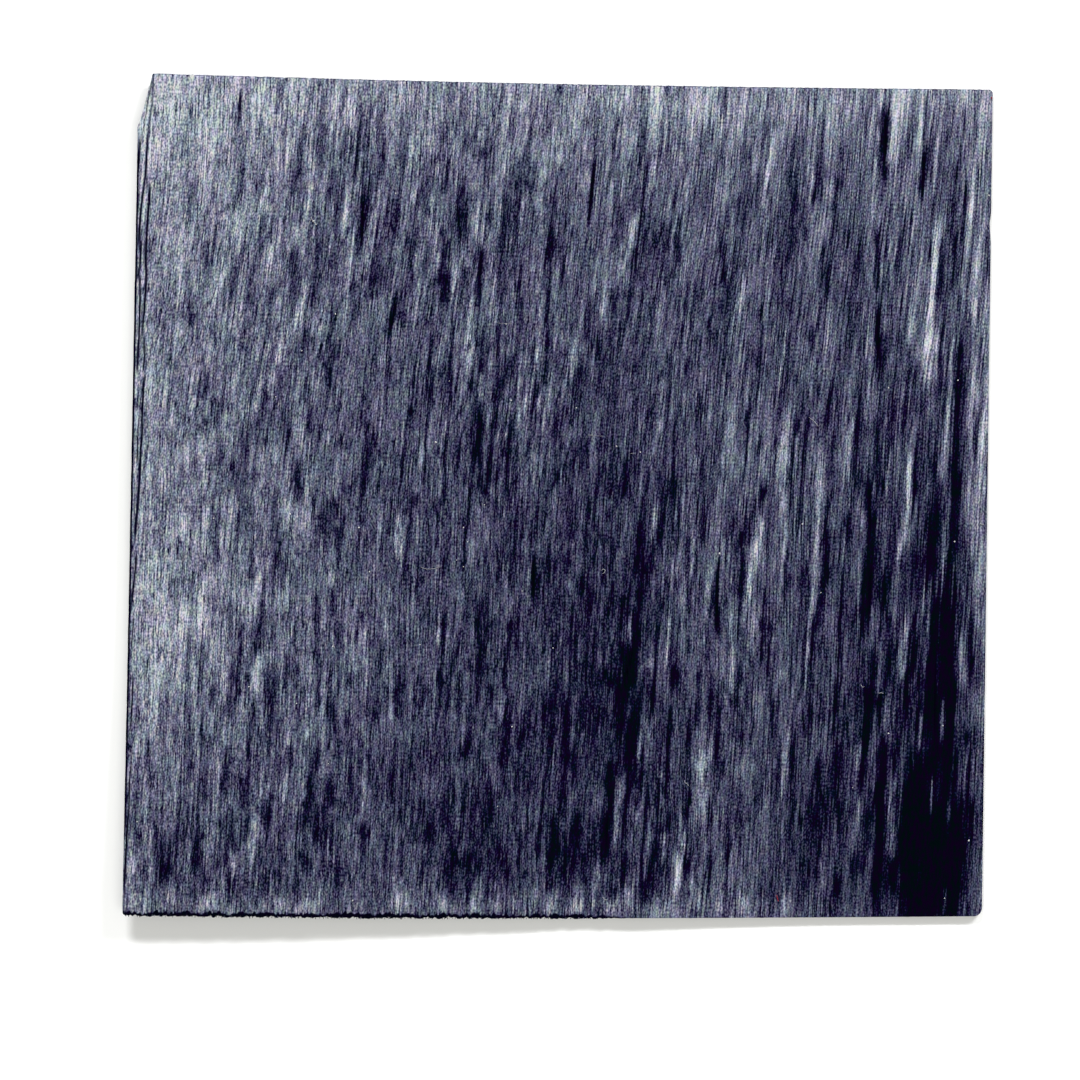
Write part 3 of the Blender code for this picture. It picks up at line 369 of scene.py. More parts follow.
    (45.8, 35, 2.4, 0.5, 20), (44.4, 29, 3, 0.4, 18), (45.7, 28, 3, 0.5, 24), (47.5, 30, 2.4, 0.5, 22),
    (47.4, 27, 3, 0.4, 20), (45.9, 26, 4, 0.5, 20), (28.2, 41.8, 4, 0.35, 22), (27.9, 38.5, 2.4, 0.3, 20),
    (29.3, 41.5, 5, 1.4, 10), (31.6, 43.8, 3, 0.8, 16), (31.4, 39, 5, 1, 16), (31.2, 35.8, 1.6, 1.6, 14),
    (28.2, 35.5, 4, 1.2, 14), (27.9, 30.3, 4, 0.5, 24), (31.6, 29, 3, 0.5, 20), (33, 32, 4, 0.5, 16),
    (32.3, 26.5, 3, 0.6, 18), (36.9, 45, 3.4, 0.4, 18), (34.9, 30, 2, 0.4, 20), (36, 28.5, 5, 1.2, 12),
    (38.3, 30.5, 3, 0.5, 28), (38.1, 27.5, 3.6, 0.6, 26), (39.2, 29.3, 1.6, 0.5, 18), (41, 30, 6, 0.8, 12),
    (40.8, 40, 2, 0.35, 20), (27.8, 22.8, 2, 0.8, 18), (27.5, 17.6, 3, 0.4, 22), (30.2, 19.3, 1.6, 0.9, 24),
    (30.4, 17.8, 2.2, 0.4, 24), (32.1, 25, 2.4, 0.4, 20), (33.3, 24, 3, 1, 12), (32.3, 10.5, 4.6, 0.6, 30),
    (28, 5, 8, 0.45, 24), (29.6, 6.5, 6, 0.5, 24), (29.3, 2.5, 4, 0.5, 20), (32.6, 4.5, 5, 0.35, 20),
    (38.2, 25.5, 2, 0.5, 22), (38.2, 20.5, 4, 0.6, 30), (38.5, 17.5, 3, 0.7, 28), (38.5, 15, 3, 0.5, 22),
    (39.2, 17.5, 4, 1, 10), (42.6, 12.8, 4, 0.5, 20), (45.3, 24.5, 4, 0.35, 24), (45.8, 18, 5, 0.45, 30),
    (45.7, 15, 3, 0.5, 24), (45.4, 12.6, 2, 0.9, 18), (47.6, 21.5, 4, 0.35, 24), (48, 22, 3, 0.4, 22),
    (47.4, 17.5, 4, 0.3, 18), (48.1, 18, 5, 0.5, 24), (47.8, 14.5, 5, 0.5, 28), (47.7, 11.5, 4, 0.6, 22),
    (47.5, 8, 6, 0.5, 22), (47.5, 4, 5, 0.6, 20), (48.3, 12.5, 4, 0.9, 15), (48.1, 9, 4, 0.8, 15),
    (48, 5.5, 4, 0.5, 20), (46.9, 3, 3, 0.7, 20), (47.8, 1.8, 3, 1, 22), (50.6, 19.5, 2, 0.4, 20),
    (50.5, 16.7, 4, 0.4, 24), (49.9, 8, 3, 0.35, 22), (36, 8.5, 4, 0.8, 14), (35.5, 4.5, 4, 0.6, 22),
    (36, 2, 3, 1, 14), (38, 8, 3, 1, 12), (38.2, 4, 4, 1.2, 14), (37, 1.2, 1.6, 0.8, 25),
    (38.5, 1.4, 2, 0.9, 18), (42.8, 5.5, 3, 0.35, 26), (42.7, 2.5, 4, 0.6, 28), (45, 4.5, 5, 0.5, 16),
    (27.9, -0.5, 5, 0.35, 20), (27.2, -8.3, 4, 0.5, 28), (27.1, -11.5, 2.5, 0.5, 20),
    (29, -1.5, 3, 0.5, 20), (28.7, -17, 6, 0.35, 12), (32.1, -2, 6, 0.3, 25), (32.1, -7.5, 6, 0.8, 30),
    (31.4, -12.5, 4, 0.6, 20), (31, -15, 2, 0.8, 12), (30.4, -17, 4, 0.4, 20), (34.7, -4.2, 3, 0.45, 28),
    (35, 0, 2, 0.3, 20), (33.9, -11.5, 10, 0.35, 22), (33.5, -20, 6, 0.5, 22), (33.3, -24, 3, 0.5, 22),
    (37, 0, 4, 0.9, 22), (37.5, -4, 5, 0.8, 25), (37.2, -6.5, 4, 0.5, 22), (36.9, -11, 8, 1.5, 32),
    (36.3, -15.5, 4, 0.35, 22), (39, -11.5, 3, 0.5, 22), (39.5, -15.3, 1.6, 0.6, 20),
    (37.6, -20.5, 4, 1, 22), (37.1, -23.8, 2, 1.6, 20), (39.6, -19, 3, 0.6, 25), (39.2, -22, 3, 0.5, 22),
    (38.4, -24.6, 1.6, 1, 20), (42.5, -0.5, 5, 0.4, 22), (42.4, -10, 6, 0.6, 20), (42.5, -19.5, 4, 0.7, 25),
    (41.6, -22.5, 4, 0.5, 22), (42.9, -5.5, 5, 0.8, 10), (45, -4, 10, 1.3, 25), (44.3, -8, 4, 0.4, 20),
    (44.9, -16.5, 8, 0.9, 26), (44.4, -22.5, 6, 0.7, 26), (47.5, -1, 5, 1.2, 24), (47, -5.5, 5, 0.5, 20),
    (46.6, -8.5, 3, 0.4, 25), (46.3, -14, 8, 0.8, 30), (47.3, -13, 7, 0.5, 30), (46.6, -19.5, 7, 1.4, 32),
    (46.9, -24, 3, 1.6, 24), (47.6, -5.5, 4, 0.5, 20), (49.4, -17, 6, 0.5, 20), (49.3, -21, 3, 0.5, 15),
    (37, -26.5, 6, 1, 30), (36.5, -31.5, 4, 0.5, 25), (36.2, -34.5, 3, 0.6, 20),
    (38.3, -25.5, 3.5, 0.5, 25), (38.9, -32.2, 4.5, 0.9, 28), (38.6, -37, 6, 0.8, 25),
    (38.4, -41.5, 6, 0.7, 25), (37.9, -46, 3.5, 1, 20), (37.8, -36.5, 4, 1.6, 15),
    (36.9, -39.5, 4, 1.2, 12), (43, -34.5, 5, 2, 30), (42.6, -38, 5, 2.6, 30), (42, -41.5, 5, 2.4, 30),
    (44.5, -44, 10, 3.4, 30), (45.2, -41, 5, 2, 20), (42, -45.5, 4, 1.5, 25), (47.3, -44, 12, 1.4, 30),
    (43.5, -48.5, 4, 3.5, 30), (47.2, -48, 4, 1.2, 28), (40, -45.5, 4, 1, 25), (46.8, -29, 12, 0.9, 30),
    (45.2, -28, 8, 0.6, 20), (44.3, -26, 5, 1, 22), (41.5, -25.5, 4, 0.6, 20), (43, -26.5, 4, 0.5, 20),
    (47.5, -33, 5, 0.5, 20), (49.1, -33.5, 6, 0.5, 15), (48.9, -28.7, 1.6, 0.8, 20),
    (49.3, -38.5, 4, 0.7, 15), (48.5, -42.5, 3, 0.8, 15), (44.8, -31.5, 4, 1.4, 20),
    (33, -26.5, 5, 0.4, 22), (33.3, -33, 6, 0.6, 15), (33.6, -38.5, 4, 0.4, 20), (30.1, -26.5, 4, 0.5, 18),
    (31.1, -32.6, 3, 0.8, 18), (30.9, -38.3, 2.6, 0.9, 18), (28.1, -31.5, 5, 0.35, 22),
    (33.3, -46.8, 2.4, 1, 22), (32.5, -48.8, 1.6, 0.4, 20), (35.2, -44.5, 4, 0.6, 20),
    (36.3, -43.8, 3, 1.4, 12),
)
paleMarks = (
    (-47.4, 47, 6, 1.4, 8), (-46.5, 42.5, 3, 0.9, 12), (-47.8, 42.5, 3, 0.6, 12), (-47.9, 38.5, 2.4, 1, 16),
    (-35.2, 48.5, 4, 0.5, 24), (-35.6, 47, 3, 0.4, 16), (-32, 47, 5, 0.4, 16), (-32, 42.5, 2.4, 0.9, 24),
    (-32.3, 40.8, 2, 0.6, 20), (-30.2, 46.8, 3, 1, 18), (-30, 48.5, 2, 0.9, 16), (-31, 45.5, 2, 0.8, 14),
    (-36.4, 44, 6, 0.7, 14), (-37.4, 45.5, 3, 0.5, 16), (-35.4, 35, 3, 0.5, 24), (-34.9, 37.5, 3, 0.5, 24),
    (-34.6, 39, 2, 0.5, 16), (-29.8, 35.5, 5, 0.5, 18), (-30.7, 31.5, 1.6, 0.9, 22),
    (-31.3, 30.5, 1.6, 0.6, 16), (-34.2, 29.6, 1.6, 0.6, 24), (-34.5, 27.8, 3, 0.5, 16),
    (-27.1, 30, 3, 0.4, 18), (-40, 26.2, 3, 0.7, 28), (-40.4, 34, 1.6, 0.4, 26), (-38.2, 33, 4, 0.6, 16),
    (-37.7, 31, 3, 0.4, 20), (-42.5, 27, 2, 0.5, 20), (-26.3, 29, 1.6, 0.6, 20), (-27.3, 45, 1.6, 0.5, 16),
    (-26.5, 47.5, 3, 0.8, 12), (-40.5, 25, 2.6, 0.7, 30), (-41, 23.8, 1.6, 0.5, 22),
    (-41.5, 22.5, 2, 0.5, 16), (-39.7, 21, 2.4, 0.3, 24), (-45.8, 19, 2, 0.9, 16), (-43, 20, 2.4, 0.4, 18),
    (-38, 19.5, 4, 0.4, 18), (-37.7, 22.5, 2, 0.5, 16), (-30.3, 24, 2, 0.7, 26), (-30.6, 22.3, 2.4, 1, 30),
    (-31.3, 21.3, 2, 0.4, 24), (-31.5, 19.8, 2.4, 0.4, 16), (-32.2, 19, 3, 0.5, 20),
    (-33.1, 18.5, 3, 0.7, 24), (-33.4, 17, 2.4, 0.6, 22), (-33.8, 15.5, 3, 0.4, 24),
    (-32.5, 16.3, 2, 0.5, 14), (-34.5, 13.6, 1.6, 0.6, 22), (-35.9, 12.5, 4, 0.5, 24),
    (-36.3, 11, 2, 0.5, 20), (-37.2, 10.1, 1.6, 0.9, 22), (-28.3, 20.5, 4, 0.4, 20),
    (-30.9, 9, 3.4, 0.7, 22), (-30.5, 7.5, 3, 0.4, 24), (-31.4, 8, 2.4, 0.7, 14), (-43.5, 11, 1.8, 0.6, 22),
    (-41.8, 10.5, 1.8, 0.5, 22), (-39, 6.7, 1.8, 0.6, 26), (-41.2, 7.2, 1.8, 0.4, 22), (-47, 3, 4, 1.4, 14),
    (-47.8, 10, 6, 1.2, 8), (-48.6, 12, 4, 1.2, 10), (-49, 3.5, 3, 0.6, 14), (-29.9, 1, 1.8, 0.8, 20),
    (-42, 1.8, 2, 0.5, 22), (-35.4, 3, 2, 0.8, 12), (-42.4, -11.3, 3, 0.9, 20), (-41.6, -10, 1.8, 1, 20),
    (-42.2, -14.5, 2.4, 1, 14), (-44.7, -15.5, 1.8, 1.2, 18), (-44.3, -13.8, 1.6, 0.9, 12),
    (-42, -3, 2, 0.5, 20), (-44.6, -2.5, 3, 0.9, 12), (-43.2, -12, 2, 0.3, 22), (-38.9, -2.5, 3, 0.5, 16),
    (-38.3, -0.8, 2, 0.5, 22), (-36, -1.5, 3, 0.6, 16), (-32.2, -2, 3, 0.8, 20),
    (-31.9, -0.2, 1.6, 0.4, 24), (-30, -2.5, 3, 0.7, 18), (-29.8, -5, 3, 0.8, 14),
    (-34.7, -8.5, 1.6, 0.5, 22), (-35.6, -10.5, 3.4, 0.5, 20), (-36.2, -11.5, 3, 0.4, 18),
    (-35.9, -7, 2, 0.5, 16), (-32.4, -11, 3, 0.6, 16), (-32.7, -12.5, 2, 0.7, 12),
    (-36.7, -13.5, 3, 0.8, 12), (-27.3, -9.8, 1.6, 0.4, 22), (-26.7, -9.5, 1.6, 0.4, 24),
    (-39.7, -19, 5, 0.9, 14), (-39.8, -22.5, 3, 0.6, 16), (-35.7, -20.5, 3, 0.9, 16),
    (-36.4, -22.5, 1.8, 0.8, 20), (-35.9, -23, 2, 0.6, 18), (-31.7, -15.5, 3, 0.6, 14),
    (-32.2, -17, 2.4, 0.5, 14), (-29.7, -21, 3, 0.8, 20), (-29.5, -23.5, 3, 0.6, 20),
    (-27.9, -23, 3, 0.4, 16), (-49.7, -10.5, 4, 0.6, 12), (-48, -22.5, 5, 2, 10), (-46, -21.5, 4, 1, 12),
    (-48.4, -26.5, 4, 1.6, 10), (-47.9, -31, 3, 0.4, 20), (-49.3, -34.5, 4, 1, 16),
    (-50.3, -30.5, 5, 0.5, 14), (-48.2, -34, 3, 0.6, 12), (-48, -35.4, 1.6, 0.9, 14),
    (-49, -37.5, 3, 0.5, 18), (-50.2, -38.7, 1.8, 0.3, 26), (-49.2, -41, 4, 0.3, 18),
    (-48.6, -41, 3, 0.3, 18), (-48.5, -44.5, 3, 0.3, 20), (-50.9, -44, 6, 0.8, 12),
    (-50.5, -48.5, 2, 1.4, 14), (-49.1, -48.5, 2, 0.8, 14), (-46.5, -47.5, 2.4, 0.5, 20),
    (-45.9, -47.8, 2, 0.5, 16), (-44.2, -45.2, 1.8, 0.8, 18), (-41.6, -33.5, 6, 0.3, 16),
    (-40.6, -32.3, 1.8, 0.5, 26), (-41, -38, 8, 0.6, 16), (-40.6, -41, 3, 0.3, 24),
    (-41.9, -41.5, 5, 0.7, 12), (-39.8, -28, 2, 0.25, 20), (-39.2, -27, 2, 0.25, 20),
    (-38.9, -42.8, 1.6, 0.9, 26), (-38.7, -44, 1.8, 0.8, 24), (-36.9, -41.8, 1.8, 0.5, 22),
    (-36.3, -42, 3, 0.3, 26), (-36.5, -43.5, 2, 0.5, 16), (-36, -46, 2, 0.4, 22),
    (-41.7, -48, 1.8, 1.4, 26), (-40.9, -47.5, 1.6, 0.6, 16), (-42.3, -49, 1.6, 1.2, 18),
    (-35.2, -33, 3, 0.5, 20), (-35.7, -31, 3, 0.3, 20), (-35.5, -35, 2.4, 0.4, 20),
    (-36.3, -38, 4, 0.6, 12), (-32.8, -36.5, 4, 0.4, 22), (-32.4, -35, 3, 0.3, 18),
    (-32.2, -29, 2, 0.4, 26), (-30.3, -34, 5, 0.25, 18), (-30, -28, 1.6, 0.5, 22), (-29.7, -25, 2, 0.8, 22),
    (-28, -25.5, 2, 0.4, 22), (-28.4, -47.5, 3, 0.6, 14), (-30.5, -49, 1.6, 2, 18),
    (-33, -48.8, 1.6, 1.6, 16), (-24.5, 48, 3, 1.2, 14), (-24.8, 45.8, 3, 0.9, 22),
    (-24.4, 44.8, 1.6, 0.6, 16), (-20, 46.5, 5, 1, 12), (-18.5, 47.5, 4, 1, 12),
    (-17.4, 43.5, 2.4, 0.3, 22), (-17.5, 41.7, 2, 0.6, 24), (-17.4, 40.6, 1.8, 0.7, 26),
    (-17.8, 39.3, 1.8, 0.4, 20), (-17.1, 36.3, 2, 0.35, 24), (-17.3, 35.2, 1.8, 0.35, 24),
    (-14.3, 40.8, 2.4, 0.4, 18), (-14.5, 38.8, 1.6, 0.5, 24), (-13.5, 39, 3, 0.25, 20),
    (-15.1, 34.9, 2.4, 0.5, 28), (-15.1, 33.3, 2, 0.5, 20), (-15.2, 32.2, 1.8, 0.6, 26),
    (-14.9, 30, 3, 0.6, 20), (-14.2, 28.5, 3, 0.35, 24), (-14.4, 31, 3, 0.3, 20), (-11.7, 42.3, 3, 0.4, 16),
    (-9.9, 46.8, 2.6, 0.3, 34), (-10, 44.8, 2.4, 0.25, 30), (-6.8, 35, 6, 0.3, 16), (-6.5, 39, 2, 0.4, 22),
    (-7.2, 31, 4, 0.3, 18), (-4.5, 45.5, 5, 0.5, 14), (-3.9, 43.5, 3, 0.5, 14), (-4.3, 34.5, 1.6, 0.4, 24),
    (-4.4, 32.5, 3, 0.3, 22), (-1.8, 37, 4, 0.3, 16), (-2, 34.5, 2.4, 0.4, 24), (-1.9, 32.5, 1.8, 0.3, 22),
    (-2, 30, 2.4, 0.3, 18), (-9.6, 33.5, 3, 0.3, 18), (-9.8, 31.3, 2.4, 0.4, 22), (-9, 31, 2.4, 0.4, 18),
    (-10.7, 29, 4, 0.6, 12), (-12.3, 27.5, 2.4, 0.5, 22), (-12.2, 26.2, 1.6, 0.4, 24),
    (-22, 31.5, 3, 0.4, 24), (-22.2, 29.5, 3, 0.5, 24), (-22, 33, 1.6, 0.5, 20), (-21.5, 35, 3, 0.3, 20),
    (-22.8, 27.8, 1.8, 0.5, 20), (-24.2, 35.5, 4, 0.3, 20), (-25.4, 33.3, 1.8, 0.7, 24),
    (-24.9, 31.5, 2, 0.5, 22), (-24.5, 29.5, 3, 0.4, 28), (-25, 29, 3, 0.3, 18), (-25.2, 24.8, 3, 0.5, 20),
    (-12.5, 24.8, 2.4, 0.4, 30), (-12.7, 23, 2.4, 0.3, 20), (-12.2, 23, 2, 0.3, 22),
    (-10.3, 24, 3, 0.35, 28), (-10.4, 22.5, 2.4, 0.4, 24), (-10.8, 20.5, 2.4, 0.5, 26),
    (-10.4, 19.5, 2.4, 0.6, 22), (-10.8, 18.4, 1.8, 0.4, 30), (-11.2, 17.3, 2, 0.6, 26),
    (-10.4, 16.7, 2.4, 0.8, 30), (-10.8, 15.5, 1.8, 0.6, 26), (-12.2, 16.3, 2, 0.3, 22),
    (-9.2, 13.2, 2, 0.5, 16), (-2.4, 18, 3, 0.3, 22), (-2.5, 16.5, 3, 0.4, 26), (-2.8, 15, 2.4, 0.3, 20),
    (-3.8, 17, 2, 0.3, 18), (-4.6, 14.5, 2.4, 0.3, 24), (-4.7, 12.5, 3, 0.3, 24), (-3.8, 11, 2, 0.4, 34),
    (-3.3, 12.3, 2, 0.5, 26), (-2.3, 11.3, 2, 0.35, 26), (-4.6, 9.5, 2, 0.4, 30), (-4, 9, 2, 0.4, 20),
    (-1.1, 12, 3, 0.6, 22), (-0.7, 14, 2, 0.35, 20), (-0.3, 18, 3, 0.3, 18), (-7.9, 9.8, 2, 0.3, 22),
    (-8.6, 10, 1.8, 0.4, 20), (-6.3, 7.3, 1.6, 0.5, 26), (-7, 7.5, 2, 0.4, 20), (-13.5, 7.4, 1.8, 0.4, 30),
    (-13.1, 5.5, 3, 0.25, 26), (-14, 5, 3, 0.3, 22), (-16.1, 5, 3, 0.25, 26), (-15.4, 7, 4, 0.25, 20),
    (-18.5, 7, 3, 0.35, 24), (-18.8, 5, 3, 0.25, 24), (-21.1, 9.5, 2.4, 0.3, 22), (-20.9, 11.5, 2, 0.3, 20),
    (-23.2, 14.5, 5, 0.25, 20), (-25.8, 14, 4, 0.25, 24), (-24.1, 7.3, 1.8, 0.5, 24),
    (-13.9, 1.5, 3, 0.25, 26), (-17.9, 16.3, 2, 0.3, 22), (-2, 22.5, 2.4, 0.3, 22),
    (-7.5, 25.3, 2, 0.5, 20), (-19, -3, 2, 0.9, 14), (-19, -5.3, 2.4, 1.3, 24), (-18.9, -7, 2, 1, 20),
    (-20.1, -11, 6, 0.3, 16), (-24.9, -4.5, 1.6, 0.7, 16), (-17.2, -12.8, 2, 0.5, 16),
    (-14.2, -15.5, 3, 0.5, 24), (-14.4, -17.2, 1.6, 0.7, 24), (-15.3, -20.8, 2.6, 0.3, 18),
    (-24.5, -17.5, 5, 0.4, 16), (-23.1, -17.5, 5, 0.35, 18), (-22.9, -20.5, 4, 0.3, 16),
    (-20.4, -21, 3, 0.4, 18), (-6.5, -8.8, 2, 0.3, 20), (-6.2, -11, 3, 0.35, 16), (-6.1, -14, 2.4, 0.4, 18),
    (-6.3, -16.3, 2, 0.4, 18), (-8.6, -5, 1.6, 0.4, 18), (-10.1, -16.8, 1.6, 0.4, 20),
    (-3.4, -9.3, 2.4, 0.4, 14), (-23.3, -28, 1.6, 0.3, 18), (-19.9, -25.6, 1.6, 0.5, 20),
    (-17.6, -29.3, 1.6, 0.3, 20), (-23.2, -35, 3, 0.4, 18), (-23.4, -36.7, 1.6, 0.3, 22),
    (-17.9, -38, 2.4, 0.3, 18), (-6.9, -27.5, 1.6, 0.5, 20), (-7, -25.5, 1.6, 1, 14),
    (-2.3, -27.5, 2.4, 0.5, 18), (-18.5, -48.5, 1.6, 2.4, 24), (-16.5, -47.8, 2.4, 1.4, 20),
    (-19.5, -47, 2, 1.2, 14), (-14, -48.8, 1.6, 1.6, 20), (-10, -48.6, 1.6, 0.8, 18),
    (-7.6, -48.8, 1.6, 1.2, 24), (-5, -48.4, 1.8, 1.2, 26), (-2.9, -48.2, 1.8, 0.8, 26),
    (-0.8, -48.6, 1.6, 1.4, 16), (5, 48, 3, 6, 8), (15, 47.5, 5, 8, 10), (11.5, 46, 6, 0.8, 16),
    (16.5, 45.5, 5, 1.2, 14), (19.4, 44.2, 1.6, 0.4, 22), (24.6, 46.5, 3, 0.8, 12), (2, 44.3, 4, 0.3, 18),
    (5.5, 45.5, 4, 0.5, 12), (11.6, 43, 6, 0.6, 14), (11.5, 39.5, 4, 0.6, 18), (10.8, 36, 3, 0.6, 22),
    (12.7, 38.5, 5, 0.5, 12), (13.3, 34.5, 3, 0.4, 16), (16, 43.5, 2.4, 1.2, 12), (9.3, 32.8, 2, 0.8, 22),
    (8.7, 31, 2.4, 0.5, 24), (7.6, 29.3, 1.8, 0.4, 28), (7.4, 27.3, 1.6, 0.6, 18), (8.2, 28.5, 2, 0.3, 24),
    (3.8, 37.5, 3, 0.3, 16), (6.5, 28.6, 2, 0.3, 18), (24.7, 36.8, 4, 0.6, 20), (25.4, 40, 5, 0.5, 24),
    (19.7, 36.5, 2, 0.8, 10), (5.6, 23, 2, 0.7, 20), (5.3, 21.8, 1.6, 1.4, 16), (5.8, 25.3, 2, 0.8, 12),
    (2.7, 20.7, 2, 0.4, 18), (2.2, 18.3, 3, 0.5, 22), (1.5, 16, 3, 0.8, 16), (0.6, 18.7, 1.6, 0.8, 20),
    (0.8, 13, 1.6, 0.5, 24), (12.2, 22.5, 4, 0.8, 12), (13.5, 19.5, 2, 0.8, 20), (12.5, 14, 6, 0.6, 10),
    (12.2, 8.4, 1.6, 0.9, 20), (22.2, 25.3, 2, 0.5, 22), (21.8, 23.3, 2, 0.9, 20), (21.4, 22, 2, 0.6, 18),
    (20.8, 19.6, 4, 0.4, 16), (19.9, 14.5, 4, 0.3, 18), (18.1, 9.5, 4, 0.4, 18), (20.6, 8, 6, 1, 12),
    (24.4, 3.4, 3, 0.45, 14), (16.5, 3.3, 2.4, 0.8, 18), (16.2, 1.5, 1.6, 0.8, 12), (11.7, -2, 3, 0.6, 22),
    (11.4, -4, 2, 0.9, 20), (1.8, -6.6, 1.8, 0.6, 24), (6.8, -2.5, 4, 0.3, 18), (16.2, -3.5, 6, 0.3, 16),
    (16.2, -6, 4, 0.4, 26), (16, -8.8, 3, 0.3, 26), (15.1, -11.8, 3, 0.7, 16), (13.4, -8, 6, 1, 8),
    (18, -10.5, 3, 0.8, 14), (17.6, -13, 3, 0.8, 10), (23.9, -4.5, 4, 1, 18), (23.5, -7, 3, 1.1, 24),
    (23.1, -9.5, 3, 0.8, 28), (22.8, -11.5, 2, 0.6, 24), (22.3, -13.5, 3, 0.4, 18),
    (24.4, -3.5, 3, 0.3, 22), (23.5, -16, 5, 1.6, 12), (13.2, -17, 5, 0.4, 24), (13, -19.5, 2, 0.3, 18),
    (8.6, -15.5, 3, 0.4, 20), (10.8, -20, 2, 1.2, 24), (20.8, -20.8, 4, 0.4, 26), (20.7, -15, 3, 0.4, 16),
    (1, -22.5, 3, 0.7, 20), (6.1, -11, 2, 0.3, 16), (9.7, -29.8, 2, 0.5, 20), (9.6, -31.5, 2, 0.7, 12),
    (10.5, -26.5, 4, 0.4, 14), (11.1, -29, 5, 1.2, 8), (7.6, -35, 2.4, 1, 26), (7.1, -38.5, 4, 0.7, 22),
    (6.9, -41, 2.4, 0.5, 16), (4.8, -36.3, 3, 1.2, 10), (4.8, -45, 2.4, 0.8, 24),
    (9.3, -37.8, 2.4, 1.4, 10), (12.3, -34, 2, 0.3, 20), (12.6, -42, 4, 0.3, 20), (16.9, -30, 1.6, 0.3, 20),
    (18.2, -29.5, 2.6, 0.7, 20), (17.5, -31.5, 2, 1.4, 26), (17, -32.5, 1.6, 1.2, 22),
    (17.4, -34.5, 3, 1, 12), (17.6, -37, 3, 0.3, 22), (16.7, -36.5, 5, 1, 10), (14.6, -39, 4, 0.3, 20),
    (15.1, -41, 2, 0.4, 34), (14.8, -43, 2.4, 0.5, 30), (14.4, -45, 3, 0.7, 30), (14.1, -46.7, 2, 0.6, 26),
    (13.2, -48.8, 1.6, 0.7, 18), (21.8, -33, 2.4, 1.2, 18), (19.9, -46, 3, 0.7, 14),
    (2.9, -28.8, 1.6, 0.3, 20), (2.2, -49, 1.6, 1.8, 28), (2.4, -47.3, 1.6, 0.5, 16),
    (4.2, -48.5, 2, 0.4, 16), (6.5, -48.8, 1.6, 1.4, 26), (8.4, -48, 1.6, 1, 16), (16.5, -48, 2.4, 1, 20),
    (19.4, -48.8, 1.6, 1, 18), (22, -49, 1.6, 1.4, 24), (12.2, -49.6, 1.6, 1.4, 15), (40.6, 44, 9, 1.2, 8),
    (40.4, 40, 5, 0.6, 12), (38, 40, 8, 0.5, 12), (37.5, 44, 4, 0.4, 12), (35.5, 45.5, 5, 0.5, 12),
    (30.8, 42.5, 8, 0.5, 14), (30.4, 37.5, 5, 0.5, 16), (29, 30.5, 4, 0.3, 16), (32.6, 36.5, 1.6, 0.9, 16),
    (31.5, 30.5, 5, 0.3, 12), (34.9, 29.5, 6, 0.3, 12), (44.8, 46, 4, 0.3, 20), (43.3, 43.5, 4, 0.4, 12),
    (45.2, 39.5, 6, 0.3, 14), (40, 27.5, 5, 0.3, 14), (42.5, 33, 8, 0.3, 12), (38.4, 33, 2.4, 0.3, 18),
    (37.9, 34.5, 4, 0.4, 12), (45.3, 31.5, 2, 1, 18), (45, 29.5, 4, 0.6, 18), (44.9, 27, 4, 0.7, 17),
    (46.9, 29, 5, 0.5, 14), (48.2, 36, 6, 0.3, 14), (49.3, 33.5, 8, 0.7, 14), (50, 38, 10, 1.2, 10),
    (50.8, 44, 8, 1.4, 8), (50, 29, 4, 0.7, 12), (26.9, 16.5, 8, 0.35, 18), (28.5, 17, 5, 1.6, 8),
    (27, 6.5, 6, 1.7, 22), (27, 3, 6, 1.6, 15), (32.2, 18.5, 8, 0.5, 12), (31.3, 4.5, 3, 0.4, 14),
    (31.1, 2.5, 5, 1, 16), (29.4, 3.5, 4, 0.3, 14), (35.4, 9, 4, 0.35, 20), (34.6, 6, 5, 0.7, 14),
    (37.2, 17.5, 4, 1.2, 14), (36.9, 11.5, 3.4, 0.5, 22), (39.1, 8.5, 1.8, 0.4, 22),
    (39.6, 3.5, 4, 0.35, 22), (39.2, 1.5, 2.5, 0.4, 15), (42.2, 7.4, 1.6, 0.3, 20), (42, 4, 2.5, 0.5, 20),
    (41.8, 2, 4, 0.6, 22), (44.7, 24, 4, 0.8, 20), (44.5, 20.5, 5, 1, 25), (44.3, 17, 5, 1.8, 27),
    (44.1, 14.8, 2, 1.3, 16), (45.3, 18.5, 2, 0.5, 20), (44.5, 13.7, 1.6, 0.7, 12), (42.3, 20, 3, 0.8, 14),
    (47.3, 19.5, 7, 0.3, 20), (46.7, 11, 4, 0.3, 22), (46.4, 7.5, 4, 0.3, 20), (46, 3.5, 4, 0.35, 16),
    (49.8, 24, 5, 1.6, 14), (51, 22.5, 6, 0.8, 16), (49.6, 21, 4, 0.8, 12), (50.9, 18.5, 3, 0.3, 22),
    (49.5, 12, 8, 1, 12), (51.1, 10, 10, 0.7, 16), (49.5, 7.5, 3, 0.3, 20), (50.8, 5.5, 8, 1.2, 14),
    (49.3, 2.5, 4, 0.4, 14), (50.5, 1.5, 4, 1.2, 10), (26.9, -0.5, 3, 1.2, 15), (27.2, -5, 5, 0.5, 15),
    (26.7, -10, 6, 0.5, 15), (31.4, -0.5, 4, 1, 20), (30.9, -4, 5, 0.7, 16), (30.8, -8, 7, 1, 20),
    (30.4, -12.5, 4, 0.5, 20), (30, -16.5, 5, 0.4, 22), (29.6, -21.5, 6, 0.4, 20),
    (29.2, -24.5, 2, 0.5, 15), (34.8, -0.8, 2.5, 0.3, 22), (34.2, -7, 3, 0.4, 20), (36.3, -3, 4, 0.3, 16),
    (36.9, -8, 1.6, 0.3, 22), (36.1, -11, 4, 0.4, 18), (36, -14.3, 3, 0.3, 15), (38.8, -8, 2.4, 0.3, 14),
